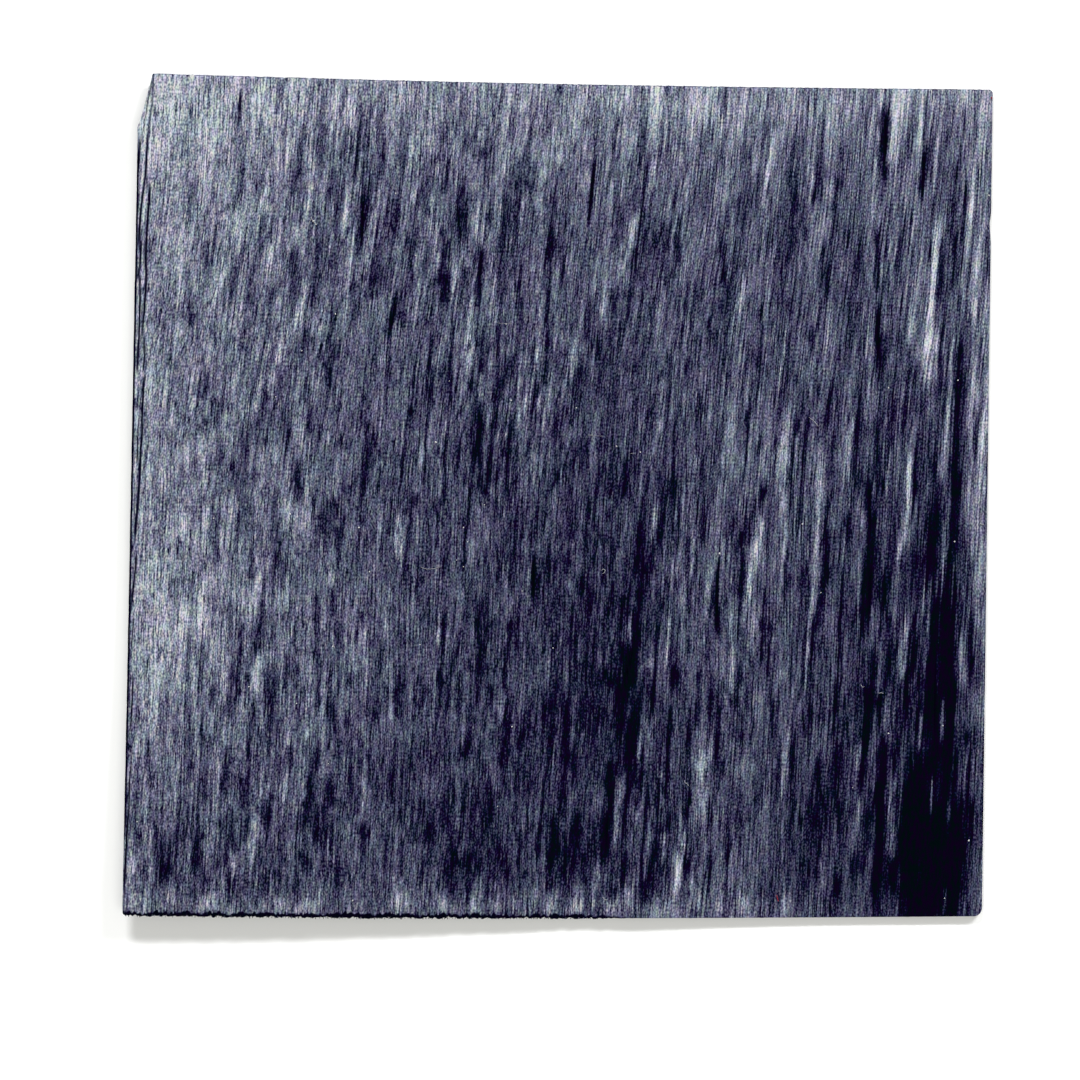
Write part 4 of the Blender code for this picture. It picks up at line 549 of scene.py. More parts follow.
    (38.3, -15.5, 5, 0.3, 14), (42, 0, 4, 0.7, 26), (41.5, -4, 4, 1, 30), (40.8, -6.5, 3, 0.4, 22),
    (40.5, -11, 8, 0.5, 18), (41.7, -16.3, 3, 0.5, 15), (41.2, -18.5, 5, 1, 22), (41.3, -20.5, 2, 0.8, 15),
    (44.1, -5, 3, 0.3, 15), (43.6, -12.5, 5, 0.4, 18), (44.1, -16, 8, 0.3, 16), (46.1, -6, 6, 0.4, 14),
    (46.2, -9, 5, 0.4, 20), (48.8, -1, 4, 1.2, 12), (48.5, -11, 4, 0.5, 14), (50, -3, 8, 2, 12),
    (50.3, -12, 10, 1.8, 10), (48.3, -18, 4, 0.6, 15), (50.8, -17, 8, 0.5, 12), (48.5, -20.5, 4, 0.8, 8),
    (35.8, -31.2, 3, 1, 22), (35.9, -38, 6, 0.8, 16), (35.2, -42.5, 3, 0.3, 20), (39.6, -26.5, 5, 1.4, 12),
    (39.9, -38, 8, 1, 14), (39.9, -41.5, 3.4, 1.2, 16), (40.8, -33, 4, 0.9, 10), (43.3, -28.3, 4, 0.3, 20),
    (44.7, -36, 4, 0.3, 18), (44.2, -40.3, 1.6, 0.8, 15), (43.1, -45.5, 4, 0.3, 20),
    (46.3, -48.5, 3, 0.6, 25), (46.6, -38.5, 4, 0.3, 12), (46, -25.8, 3, 0.5, 15),
    (46.1, -28, 1.6, 0.3, 20), (48.5, -33.5, 3, 0.7, 10), (50.2, -30, 10, 1.6, 10), (50, -25, 4, 1.6, 12),
    (50.6, -47, 6, 0.5, 12), (28.9, -25, 3, 0.4, 18), (27.5, -29, 4, 0.5, 15), (27.2, -32.7, 4, 0.9, 14),
    (26.5, -36.8, 3, 0.6, 14), (27.4, -49, 2.4, 1.4, 22), (31, -28.5, 6, 1.5, 6), (33.2, -40.5, 4, 0.8, 12),
    (29.8, -27.8, 1.6, 0.3, 20),
)
# How the marks are laid on the face
marking = {
    "contrast": 0.93,            # in the middle of the sheet
    "contrastToRight": 0.005,    # change for each millimetre
    "contrastUpward": -0.0025,
    "deepest": 0.32,             # where dark marks lie over each other, they darken no further
    "stretch": 1.15,             # share by which the marks are longer than they were read
    "lean": 3.6,                 # degrees
    "leanInSweep": 27.0,         # degrees more for a sweep with a slope of 1
}
# Places where the grain leans more: middle x, middle y, half width, half height, slope
sweeps = (
    (-35, 22, 28, 26, 0.2), (20, 26, 32, 34, 0.15),
)
sweepEverywhere = 0.05
reliefLean = 3.0                 # degrees

# Raggedness: for each wave its height, size across, size along and seed, in millimetres. The heights of
# tornDepth, tornRim, topLine and grain are shares. Down the walls the size along is a share of the wall.
ragged = {
    "brokenCorner": ((0.12, 1.1, 1, 7.3), (0.05, 0.35, 1, 3.1)),
    "tornDepth": ((0.55, 1.7, 1, 1.7), (0.5, 0.6, 1, 5.2), (0.45, 0.28, 0.6, 9.4)),
    "teeth": ((0.1, 0.6, 1, 2.2), (0.24, 0.3, 0.8, 3.3)),
    "topEdge": ((0.05, 0.45, 1, 4.4), (0.03, 0.2, 1, 6.1)),
    "sides": ((0.03, 2.2, 1, 8.8), (0.025, 0.5, 1, 2.9)),
    "leftBorder": ((0.07, 2.5, 1, 12.0), (0.05, 0.6, 1, 13.0)),
    "splits": ((0.05, 1.0, 1.3, 14.0),),
    "tornRim": ((1.6, 0.35, 1, 33.0),),
    "topLine": ((1.2, 1.2, 1, 35.0),),
    "markEnds": ((1.3, 0.2, 5.0, 17.0),),
    "markSides": ((0.12, 0.6, 1.6, 18.0),),
    "waver": ((0.35, 9.0, 30.0, 11.0),),
    "grain": ((1.0, 0.55, 4.5, 21.0), (0.6, 1.3, 8.0, 31.0)),
}


def ease(share):
    # smooth step from 0 to 1
    share = np.clip(share, 0.0, 1.0)
    return (1.0 - np.cos(np.pi * share)) / 2.0


def fade(distance, reach):
    # 1 at an edge, falling evenly to 0 at the reach
    return np.clip(1 - distance / reach, 0, 1)


def hump(x, y, middleX, middleY, halfWidth, halfHeight):
    # 1 in the middle of an area, falling smoothly all round
    return np.exp(-(((x - middleX) / halfWidth) ** 2 + ((y - middleY) / halfHeight) ** 2))


def roughAt(kind, x, y, start=0.0):
    # the sum of the waves of one kind of raggedness, added to a start
    total = np.full(len(x), start)
    for height, across, along, seed in ragged[kind]:
        places = zip(x / across, y / along)
        total += height * np.array([noise.noise((a, b, seed)) for a, b in places])
    return total


def liftAt(x, y):
    # how high the underside stands above the surface
    bottomY, leftX = sheet["bottomLeft"][1], sheet["bottomLeft"][0]
    turn = ease((sheet["curlTurnsBelow"] - y) / (sheet["curlTurnsBelow"] - bottomY))
    start = sheet["curlStartTop"] + (sheet["curlStartBottom"] - sheet["curlStartTop"]) * turn
    height = sheet["curlTop"] + (sheet["curlBottom"] - sheet["curlTop"]) * turn
    return height * ease((start - x) / (start - leftX))


def streakAt(x, y, middleX, middleY, length, width, lean):
    # 1 in the middle of a streak, falling to 0 at its sides and ends
    slope = math.tan(math.radians(lean))
    aside = (x - middleX - (y - middleY) * slope) / (width / 2)
    along = (y - middleY) / (length / 2)
    return np.exp(-np.abs(aside) ** 3 - along ** 4)


def markLean(x, y):
    # degrees that a mark leans by
    lean = marking["lean"]
    for middleX, middleY, halfWidth, halfHeight, slope in sweeps:
        lean += marking["leanInSweep"] * slope * hump(x, y, middleX, middleY, halfWidth, halfHeight)
    return lean


def marksAt(x, y, leanX):
    # the sum of the dark and pale marks, with frayed sides and ends
    raggedY = y + roughAt("markEnds", leanX, y)
    raggedX = x + roughAt("markSides", leanX, y)
    order = np.argsort(y)
    sortedY = y[order]
    total = np.zeros(len(x))
    for sign, marks in ((-0.01, darkMarks), (0.01, paleMarks)):
        for middleX, middleY, length, width, depth in marks:
            # only the points near the mark are worked out
            first, last = np.searchsorted(sortedY, (middleY - length - 2, middleY + length + 2))
            near = order[first:last]
            near = near[np.abs(x[near] - middleX) < width + 0.2 * length + 1]
            lean = markLean(middleX, middleY)
            stretched = length * marking["stretch"]
            shape = streakAt(raggedX[near], raggedY[near], middleX, middleY, stretched, width, lean)
            total[near] += sign * depth * shape
    deepest = marking["deepest"]
    contrast = marking["contrast"] + marking["contrastToRight"] * x + marking["contrastUpward"] * y
    return contrast * np.where(total < 0, -deepest * np.tanh(-total / deepest), total)


def outlineAt(across, up):
    # flat place of a point given as shares across and up the sheet
    left, right = np.array(sheet["bottomLeft"]), np.array(sheet["bottomRight"])
    topRight, breakEnd = np.array(sheet["topRight"]), np.array(sheet["breakEnd"])
    topLeft = left + (breakEnd - left) * (sheet["breakTop"][1] - left[1]) / (breakEnd[1] - left[1])
    lower = left + (right - left) * across[:, None]
    upper = topLeft + (topRight - topLeft) * across[:, None]
    flat = lower + (upper - lower) * up[:, None]
    x, y = flat[:, 0], flat[:, 1]
    bow = np.where(up > 0.5, sheet["topBow"], sheet["bottomBow"])
    y = y + bow * np.sin(np.pi * across) * ease(np.abs(2 * up - 1))
    return x, y


def roundCorners(across, up):
    # pulls the square corners in to round ones
    for name, radius in sheet["cornerRadii"].items():
        fromSide = across * sheetWidth if "Left" in name else (1 - across) * sheetWidth
        fromEnd = up * sheetHeight if "bottom" in name else (1 - up) * sheetHeight
        a, b = fade(fromSide, radius), fade(fromEnd, radius)
        inA, inB = a * (1 - np.sqrt(1 - b * b / 2)), b * (1 - np.sqrt(1 - a * a / 2))
        across = across + np.where("Left" in name, 1, -1) * inA * radius / sheetWidth
        up = up + np.where("bottom" in name, 1, -1) * inB * radius / sheetHeight
    return across, up


def makeSheetMesh():
    # a grid for the face, steps down its wall and a coarser grid for the underside, one unit apart
    bm = bmesh.new()
    bmesh.ops.create_grid(bm, x_segments=sheet["columns"], y_segments=sheet["rows"], size=0.5)
    rim = [edge for edge in bm.edges if edge.is_boundary]
    for step in range(sheet["wallSteps"]):
        grown = bmesh.ops.extrude_edge_only(bm, edges=rim)["geom"]
        lower = [part for part in grown if isinstance(part, bmesh.types.BMVert)]
        bmesh.ops.translate(bm, verts=lower, vec=(0, 0, -1))
        rim = [part for part in grown if isinstance(part, bmesh.types.BMEdge) and part.is_boundary]
    under = bmesh.ops.create_grid(
        bm, x_segments=sheet["columns"] // sheet["undersideShare"],
        y_segments=sheet["rows"] // sheet["undersideShare"], size=0.5 - sheet["undersideInset"],
        matrix=Matrix.Translation((0, 0, -sheet["wallSteps"] - 1)),
    )["verts"]
    underRim = [edge for edge in {e for v in under for e in v.link_edges} if edge.is_boundary]
    bmesh.ops.bridge_loops(bm, edges=rim + underRim)
    bmesh.ops.recalc_face_normals(bm, faces=bm.faces)
    mesh = bpy.data.meshes.new("dyedVeneer")
    bm.to_mesh(mesh)
    bm.free()
    return mesh


# Splits down the left edge, dark partly from the dye and partly from painted shade in them: width, then the
# points that each runs through
splits = (
    (0.16, (-48.35, 50.2), (-48.65, 48.5), (-49.05, 46.5), (-49.5, 43.5), (-49.9, 41.5), (-50.0, 39.5)),
    (0.3, (-48.35, 49.8), (-48.4, 47.5), (-48.65, 45.5), (-48.95, 43), (-49.1, 41), (-49.15, 39),
     (-49.4, 37.3), (-49.6, 35.8), (-49.75, 34.5), (-49.9, 32.5), (-50.05, 30)),
    (0.28, (-49.1, 37.2), (-48.75, 36.8), (-48.75, 35.5), (-48.95, 33.5), (-49.1, 31), (-49.2, 28.5),
     (-49.15, 26.5), (-49.2, 24.5), (-49.4, 22), (-49.65, 19.6)),
    (0.24, (-49.7, 30.5), (-49.85, 28), (-50, 26.5), (-49.85, 24.5), (-49.95, 21), (-50, 19), (-50.1, 17),
     (-50.25, 15)),
    (0.22, (-49.35, 18.6), (-49.45, 17.2), (-49.35, 16.8), (-49.5, 15)),
    (0.24, (-49.5, 14), (-49.5, 12), (-49.6, 9.5), (-49.65, 7.5), (-49.75, 5.8), (-49.85, 4)),
    (0.34, (-49.85, 4), (-49.95, 2), (-50.1, 0), (-50.2, -1.5), (-50.4, -3.5), (-50.55, -5)),
    (0.14, (-50.15, 6.8), (-50.15, 5.2), (-50.25, 4.4)),
    (0.22, (-50.3, -7), (-50.45, -9), (-50.6, -10.5), (-50.85, -12), (-51, -12.8)),
    (0.12, (-50.55, -14.5), (-50.75, -16), (-50.9, -18)),
    (0.14, (-50.75, -22), (-50.8, -24), (-50.85, -26), (-50.95, -27)),
    (0.14, (-50.9, -32), (-51.1, -34), (-51.15, -36), (-51.2, -38.2)),
    (0.24, (-51.3, -38.4), (-51.45, -41), (-51.6, -44), (-51.75, -46.5)),
)
splitDepth = 0.24
splitEdge = 2.3              # how sharply a split ends at its sides
splitEnd = 0.3               # how far it runs out beyond its last point
splitsLeftOf = -47.5

leftBorder = {
    "width": 0.3,            # dark line down the left border, partly the dyed edge and partly painted shade of its bevel
    "blur": 0.08,
    "drop": 0.2,
    "upTo": 41.0,            # above here the broken corner slopes away, purplish and less dark
    "upToBlur": 2.0,
    "paleFrom": -39.0,       # below here the border is pale outside the last split
    "paleBlur": 1.5,
}
torn = {
    "until": 6.0,            # the bottom edge is torn from the left corner to here
    "fadesOver": 8.0,
    "depth": 0.44,           # how far the wall leans in at its top, where it is torn
    "cleanDepth": 0.06,      # and where it is cut
    "usualDepth": 0.9,       # share of the depth about which it varies
    "inset": 0.05,
    "rim": 0.17,             # dark rim of the face above the torn edge: dark dye, and painted shade of the torn end grain that faces away from the light
    "rimBlur": 0.12,
    "reach": 2.4,            # how far in the face gives way to the torn rim
    "sink": 0.1,             # how much the face sinks there
}
nick = {"height": 32.3, "length": 1.6, "depth": 0.2}
cutEdges = {
    "topReach": 1.0,
    "topSlope": 0.05,        # how far the wall of the top edge leans in at its top
    "rightReach": 1.2,
    "rightSlope": 0.02,
    "leftReach": 1.0,
    "leftInset": 0.04,
    "bevel": 0.05,
    "bevelWidth": 0.25,
    "brokenReach": 4.0,      # how far in the face gives way to the broken corner
}
grainRelief = 0.02

# Darkness of the edges, as shares, and their widths in millimetres. The slits get painted shade; the splits,
# the left border, the broken corner and the torn edge get their dye with painted shade; the rest is the dye
# of the edges and the underside
shade = {
    # painted shade in the open slits
    "slit": 0.25,
    "split": 0.92,
    "splitFade": 0.55,       # how much paler the splits grow up the broken corner
    "splitFadeFrom": 40.0,
    "splitFadeOver": 5.0,
    # partly the dyed edge, partly painted shade where the broken corner slopes away
    "corner": 0.14,
    "cornerWidth": 0.55,
    "cornerBlur": 0.3,
    "topLineWidth": 0.14,
    "topLineBlur": 0.1,
    "topLine": 0.4,
    "topLineMost": 0.7,
    "wall": 0.8,
    "tornWall": 0.2,         # how much darker the torn wall is: dark dye, and painted shade as it faces away from the light
    "underside": 0.1,
}


def splitsAt(x, y):
    # 1 on the splits of the left edge
    near = np.flatnonzero(x < splitsLeftOf)
    px, py = x[near], y[near]
    shape = np.zeros(len(near))
    for width, *points in splits:
        for (ax, ay), (bx, by) in zip(points, points[1:]):
            share = np.clip((py - ay) / (by - ay), 0, 1)
            aside = px - ax - (bx - ax) * share
            beyond = py - ay - (by - ay) * share
            here = np.exp(-((aside / width * splitEdge) ** 4) - (beyond / splitEnd) ** 2)
            shape = np.maximum(shape, here)
    total = np.zeros(len(x))
    total[near] = shape
    return total


def slitsAt(x, y):
    # 1 in the slits opened along the grain
    total = np.zeros(len(x))
    for middleX, middleY, length, lean in slits:
        total = np.maximum(total, streakAt(x, y, middleX, middleY, length, slitWidth, lean))
    return total


def breakCorner(x, y, away):
    # takes the broken corner off the upper left
    (topX, topY), (endX, endY) = sheet["breakTop"], sheet["breakEnd"]
    gone = np.clip((y - endY) / (topY - endY), 0, 1) * (topX - endX)
    uneven = roughAt("brokenCorner", y, y * 0) * (gone > 0)
    return x + (gone + uneven) * fade(away["left"], cutEdges["brokenReach"])


def roughenEdges(x, y, away, drop, wallShare, tornHere):
    # tears the bottom edge, and makes the cut edges a little uneven
    depth = torn["cleanDepth"] + (torn["depth"] - torn["cleanDepth"]) * tornHere
    depth = depth * np.clip(roughAt("tornDepth", x, drop, torn["usualDepth"]), 0, 2)
    teeth = torn["inset"] + tornHere * roughAt("teeth", x, drop)
    y = y + (depth * wallShare + teeth) * fade(away["bottom"], torn["reach"])
    uneven = cutEdges["topSlope"] * wallShare + roughAt("topEdge", x, drop)
    y = y - uneven * fade(away["top"], cutEdges["topReach"])
    sides = roughAt("sides", y, drop)
    notch = nick["depth"] * fade(np.abs(y - nick["height"]), nick["length"])
    inward = cutEdges["rightSlope"] * wallShare + np.maximum(sides, 0) + notch
    x = x - inward * fade(away["right"], cutEdges["rightReach"])
    x = x + (sides + cutEdges["leftInset"]) * fade(away["left"], cutEdges["leftReach"])
    return x, y


def reliefAt(away, grain, slit, split, tornHere):
    # height of the face from the sanded surface, which is 0 or below it
    relief = grainRelief * grain - slitDepth * slit - splitDepth * split
    relief = relief - leftBorder["drop"] * fade(away["left"], leftBorder["width"])
    relief = relief - torn["sink"] * fade(away["bottom"], torn["reach"]) ** 3 * tornHere
    for side in ("top", "right"):
        relief = relief - cutEdges["bevel"] * fade(away[side], cutEdges["bevelWidth"])
    return np.minimum(relief, 0.0)


def rimAt(x, y, away, split, tornHere):
    # darkness of the face along its edges: partly their dye, and partly painted shade in the splits, down
    # the left border, along the broken corner and on the torn rim
    broken = ease((y - leftBorder["upTo"]) / leftBorder["upToBlur"])
    paleBorder = ease((leftBorder["paleFrom"] - y) / leftBorder["paleBlur"])
    width = leftBorder["width"] + roughAt("leftBorder", y, y * 0)
    border = np.clip((width - away["left"]) / leftBorder["blur"], 0, 1) * (1 - broken) * (1 - paleBorder)
    fromCorner = np.clip((shade["cornerWidth"] - away["left"]) / shade["cornerBlur"], 0, 1)
    paler = shade["splitFade"] * ease((y - shade["splitFadeFrom"]) / shade["splitFadeOver"])
    # the torn rim: dark dye and painted shade
    rim = torn["rim"] * (1 + roughAt("tornRim", x, y * 0))
    tornRim = ease((rim - away["bottom"]) / torn["rimBlur"]) * tornHere
    topLine = ease((shade["topLineWidth"] - away["top"]) / shade["topLineBlur"])
    topLine = topLine * np.clip(shade["topLine"] + roughAt("topLine", x, y * 0), 0, shade["topLineMost"])
    # painted shade, with the dye of the edge, in the splits, down the left border and along the broken
    # corner
    dark = (split * (shade["split"] - paler), border, shade["corner"] * fromCorner * broken)
    return np.maximum.reduce((*dark, tornRim, topLine))


def setAttribute(mesh, name, values):
    mesh.attributes.new(name, "FLOAT", "POINT").data.foreach_set("value", values.astype(np.float32))


def shapeSheet(mesh):
    coords = np.empty(len(mesh.vertices) * 3)
    mesh.vertices.foreach_get("co", coords)
    coords = coords.reshape(-1, 3)
    level = -np.round(coords[:, 2])          # 0 on the face, then 1 more for each step down the wall
    strip, stripShare = sheet["fineStrip"] / sheetWidth, sheet["fineStripShare"]
    ends, endsShare = sheet["fineEnds"] / sheetHeight, sheet["fineEndsShare"]
    across = np.interp(coords[:, 0] + 0.5, (0, stripShare, 1), (0, strip, 1))
    up = np.interp(coords[:, 1] + 0.5, (0, endsShare, 1 - endsShare, 1), (0, ends, 1 - ends, 1))
    across, up = roundCorners(across, up)
    x, y = outlineAt(across, up)
    away = {
        "left": across * sheetWidth, "right": (1 - across) * sheetWidth,
        "bottom": up * sheetHeight, "top": (1 - up) * sheetHeight,
    }
    drop = level / sheet["wallSteps"]
    wallShare = np.clip(1 - drop, 0, 1)      # 1 at the upper rim, 0 at the lower one
    onFace = level == 0

    x = breakCorner(x, y, away)
    tornHere = ease((torn["until"] + torn["fadesOver"] / 2 - x) / torn["fadesOver"])
    x, y = roughenEdges(x, y, away, drop, wallShare, tornHere)
    leanX = x - (y - sheet["bottomLeft"][1]) * math.tan(math.radians(reliefLean))
    grain = roughAt("grain", leanX + roughAt("waver", x, y), y)
    slit = slitsAt(x, y)
    split = splitsAt(x + roughAt("splits", x, y), y)
    faceHeight = sheet["thickness"] + reliefAt(away, grain, slit, split, tornHere)
    z = liftAt(x, y) + np.where(level > sheet["wallSteps"] - 1, 0.0, faceHeight * wallShare)

    tone = sum(change * hump(x, y, *area) for *area, change in areas)
    tone += marksAt(x, y, leanX) * onFace
    # painted shade: the slits are painted darker
    tone -= shade["slit"] * slit
    # the torn wall is painted darker still: dark dye and painted shade
    wall = shade["wall"] + shade["tornWall"] * tornHere * (away["bottom"] < 1)
    below = np.where(level > sheet["wallSteps"], shade["underside"], wall)
    sweep = sweepEverywhere * y
    for middleX, middleY, halfWidth, halfHeight, slope in sweeps:
        sweep += slope * (y - middleY) * hump(x, y, middleX, middleY, halfWidth, halfHeight)
    setAttribute(mesh, "tone", tone)
    setAttribute(mesh, "sweep", sweep)
    # rim: the edges' darkness, partly their dye and partly painted shade
    setAttribute(mesh, "rim", np.where(onFace, rimAt(x, y, away, split, tornHere), below))
    coords = np.stack((x, y, z), axis=1) * mm
    fitToCad(coords)
    mesh.vertices.foreach_set("co", coords.ravel())
    mesh.update()


def fitToCad(coords):
    # moves the sheet over the CAD sheet and keeps it inside that box
    low, high = coords.min(0), coords.max(0)
    cadMiddle = (np.array(cadLow) + np.array(cadHigh)) / 2
    for axis in (0, 1):
        coords[:, axis] += cadMiddle[axis] - (low[axis] + high[axis]) / 2
        np.clip(coords[:, axis], cadLow[axis], cadHigh[axis], out=coords[:, axis])


class Socket:
    # wraps a node's output so that expressions add Math nodes
    def __init__(self, shader, output):
        self.shader, self.output = shader, output

    def math(self, operation, *values):
        return self.shader.node("ShaderNodeMath", {"operation": operation}, dict(enumerate(values)))

    def __add__(self, other):
        return self.math("ADD", self, other)

    def __sub__(self, other):
        return self.math("SUBTRACT", self, other)

    def __rsub__(self, other):
        return self.math("SUBTRACT", other, self)

    def __mul__(self, other):
        return self.math("MULTIPLY", self, other)

    def __truediv__(self, other):
        return self.math("DIVIDE", self, other)

    __radd__ = __add__
    __rmul__ = __mul__


class Shader:
    def __init__(self, name):
        self.material = bpy.data.materials.new(name)
        self.material.use_nodes = True
        self.tree = self.material.node_tree
        self.surface = self.tree.nodes["Principled BSDF"]

    def node(self, kind, settings=None, sockets=None, output=0):
        made = self.tree.nodes.new(kind)
        for name, value in (settings or {}).items():
            if name == "stops":
                self.setStops(made.color_ramp, value)
            else:
                setattr(made, name, value)
        for name, value in (sockets or {}).items():
            self.put(made.inputs[name], value)
        return Socket(self, made.outputs[output])

    def put(self, target, value):
        if isinstance(value, Socket):
            self.tree.links.new(value.output, target)
        elif target.type == "RGBA":
            target.default_value = (*value, 1.0)
        else:
            target.default_value = value

    def setStops(self, ramp, stops):
        while len(ramp.elements) < len(stops):
            ramp.elements.new(0.5)
        for element, (place, colour) in zip(ramp.elements, stops):
            element.position = place
            element.color = (*colour, 1.0)

    def mix(self, share, first, second, blend="MIX"):
        settings = {"data_type": "RGBA", "blend_type": blend}
        return self.node("ShaderNodeMix", settings, {0: share, 6: first, 7: second}, 2)

    def finish(self, **sockets):
        for name, value in sockets.items():
            self.put(self.surface.inputs[name.replace("_", " ")], value)
        return self.material


def linear(red, green, blue, share=1.0):
    # a colour given from 0 to 255 as light, times a share
    parts = [part / 255 for part in (red, green, blue)]
    return tuple(share * (p / 12.92 if p <= 0.04045 else ((p + 0.055) / 1.055) ** 2.4) for p in parts)


wood = {
    "exposure": 0.65,          # share that takes the seen colours to the wood's own
    "baseTone": 0.297,
    # each kind of mark: width and length in millimetres, and contrast in tone
    # the next two marks are light and dark figuring, partly the wood's colour and partly painted sheen
    "figureAndSheen": (2.6, 9.0, 0.07),
    "patchesAndSheen": (1.0, 4.5, 0.06),
    "strips": (0.75, 9.0, 0.07),
    "seams": 0.1,              # contrast of the dark lines between the strips
    "longFibres": (0.2, 11.0, 0.17),
    "fibres": (0.15, 1.3, 0.34),
    "speckle": (0.17, 0.28, 0.45),
    "pores": (0.5, 3.6, 0.1),
    "streaks": (1.1, 9.0, 0.07),
    "stripsToRight": 0.001,    # how much stronger the strips are for each millimetre
    "lean": 0.046,             # slope of all the marks
    # for each of these the last number is how far it shifts the marks
    "waver": (9.0, 30.0, 1.2),
    "narrowEnds": (0.14, 7.0, 2.5),
    "wideEnds": (0.5, 9.0, 4.0),
    "sweptShare": 0.35,        # how far the fine marks follow the sweeps
    "strength": (0.9, 1.2),    # contrast on black wood, and how much more on paler wood
    "rimTone": 0.03,
    "roughness": 0.9,
    "relief": 0.000028,        # metres
    "colours": (
        (0.00, (0, 0, 4)), (0.04, (0, 0, 22)), (0.10, (4, 4, 38)), (0.15, (22, 22, 52)),
        (0.19, (43, 44, 70)), (0.235, (58, 59, 83)), (0.33, (79, 82, 105)), (0.43, (106, 111, 131)),
        (0.56, (140, 147, 163)), (0.70, (178, 183, 194)), (0.90, (226, 228, 233)),
    ),
    # the two ends of each slight change of hue
    "redToGreen": ((1.1, 0.96, 1.035), (0.9, 1.035, 0.965)),
    "blueToYellow": ((0.985, 0.985, 1.13), (1.015, 1.015, 0.88)),
    "stain": ((0.0024, 0.0, 0.006), (0.0, 0.002, 0.002)),
}


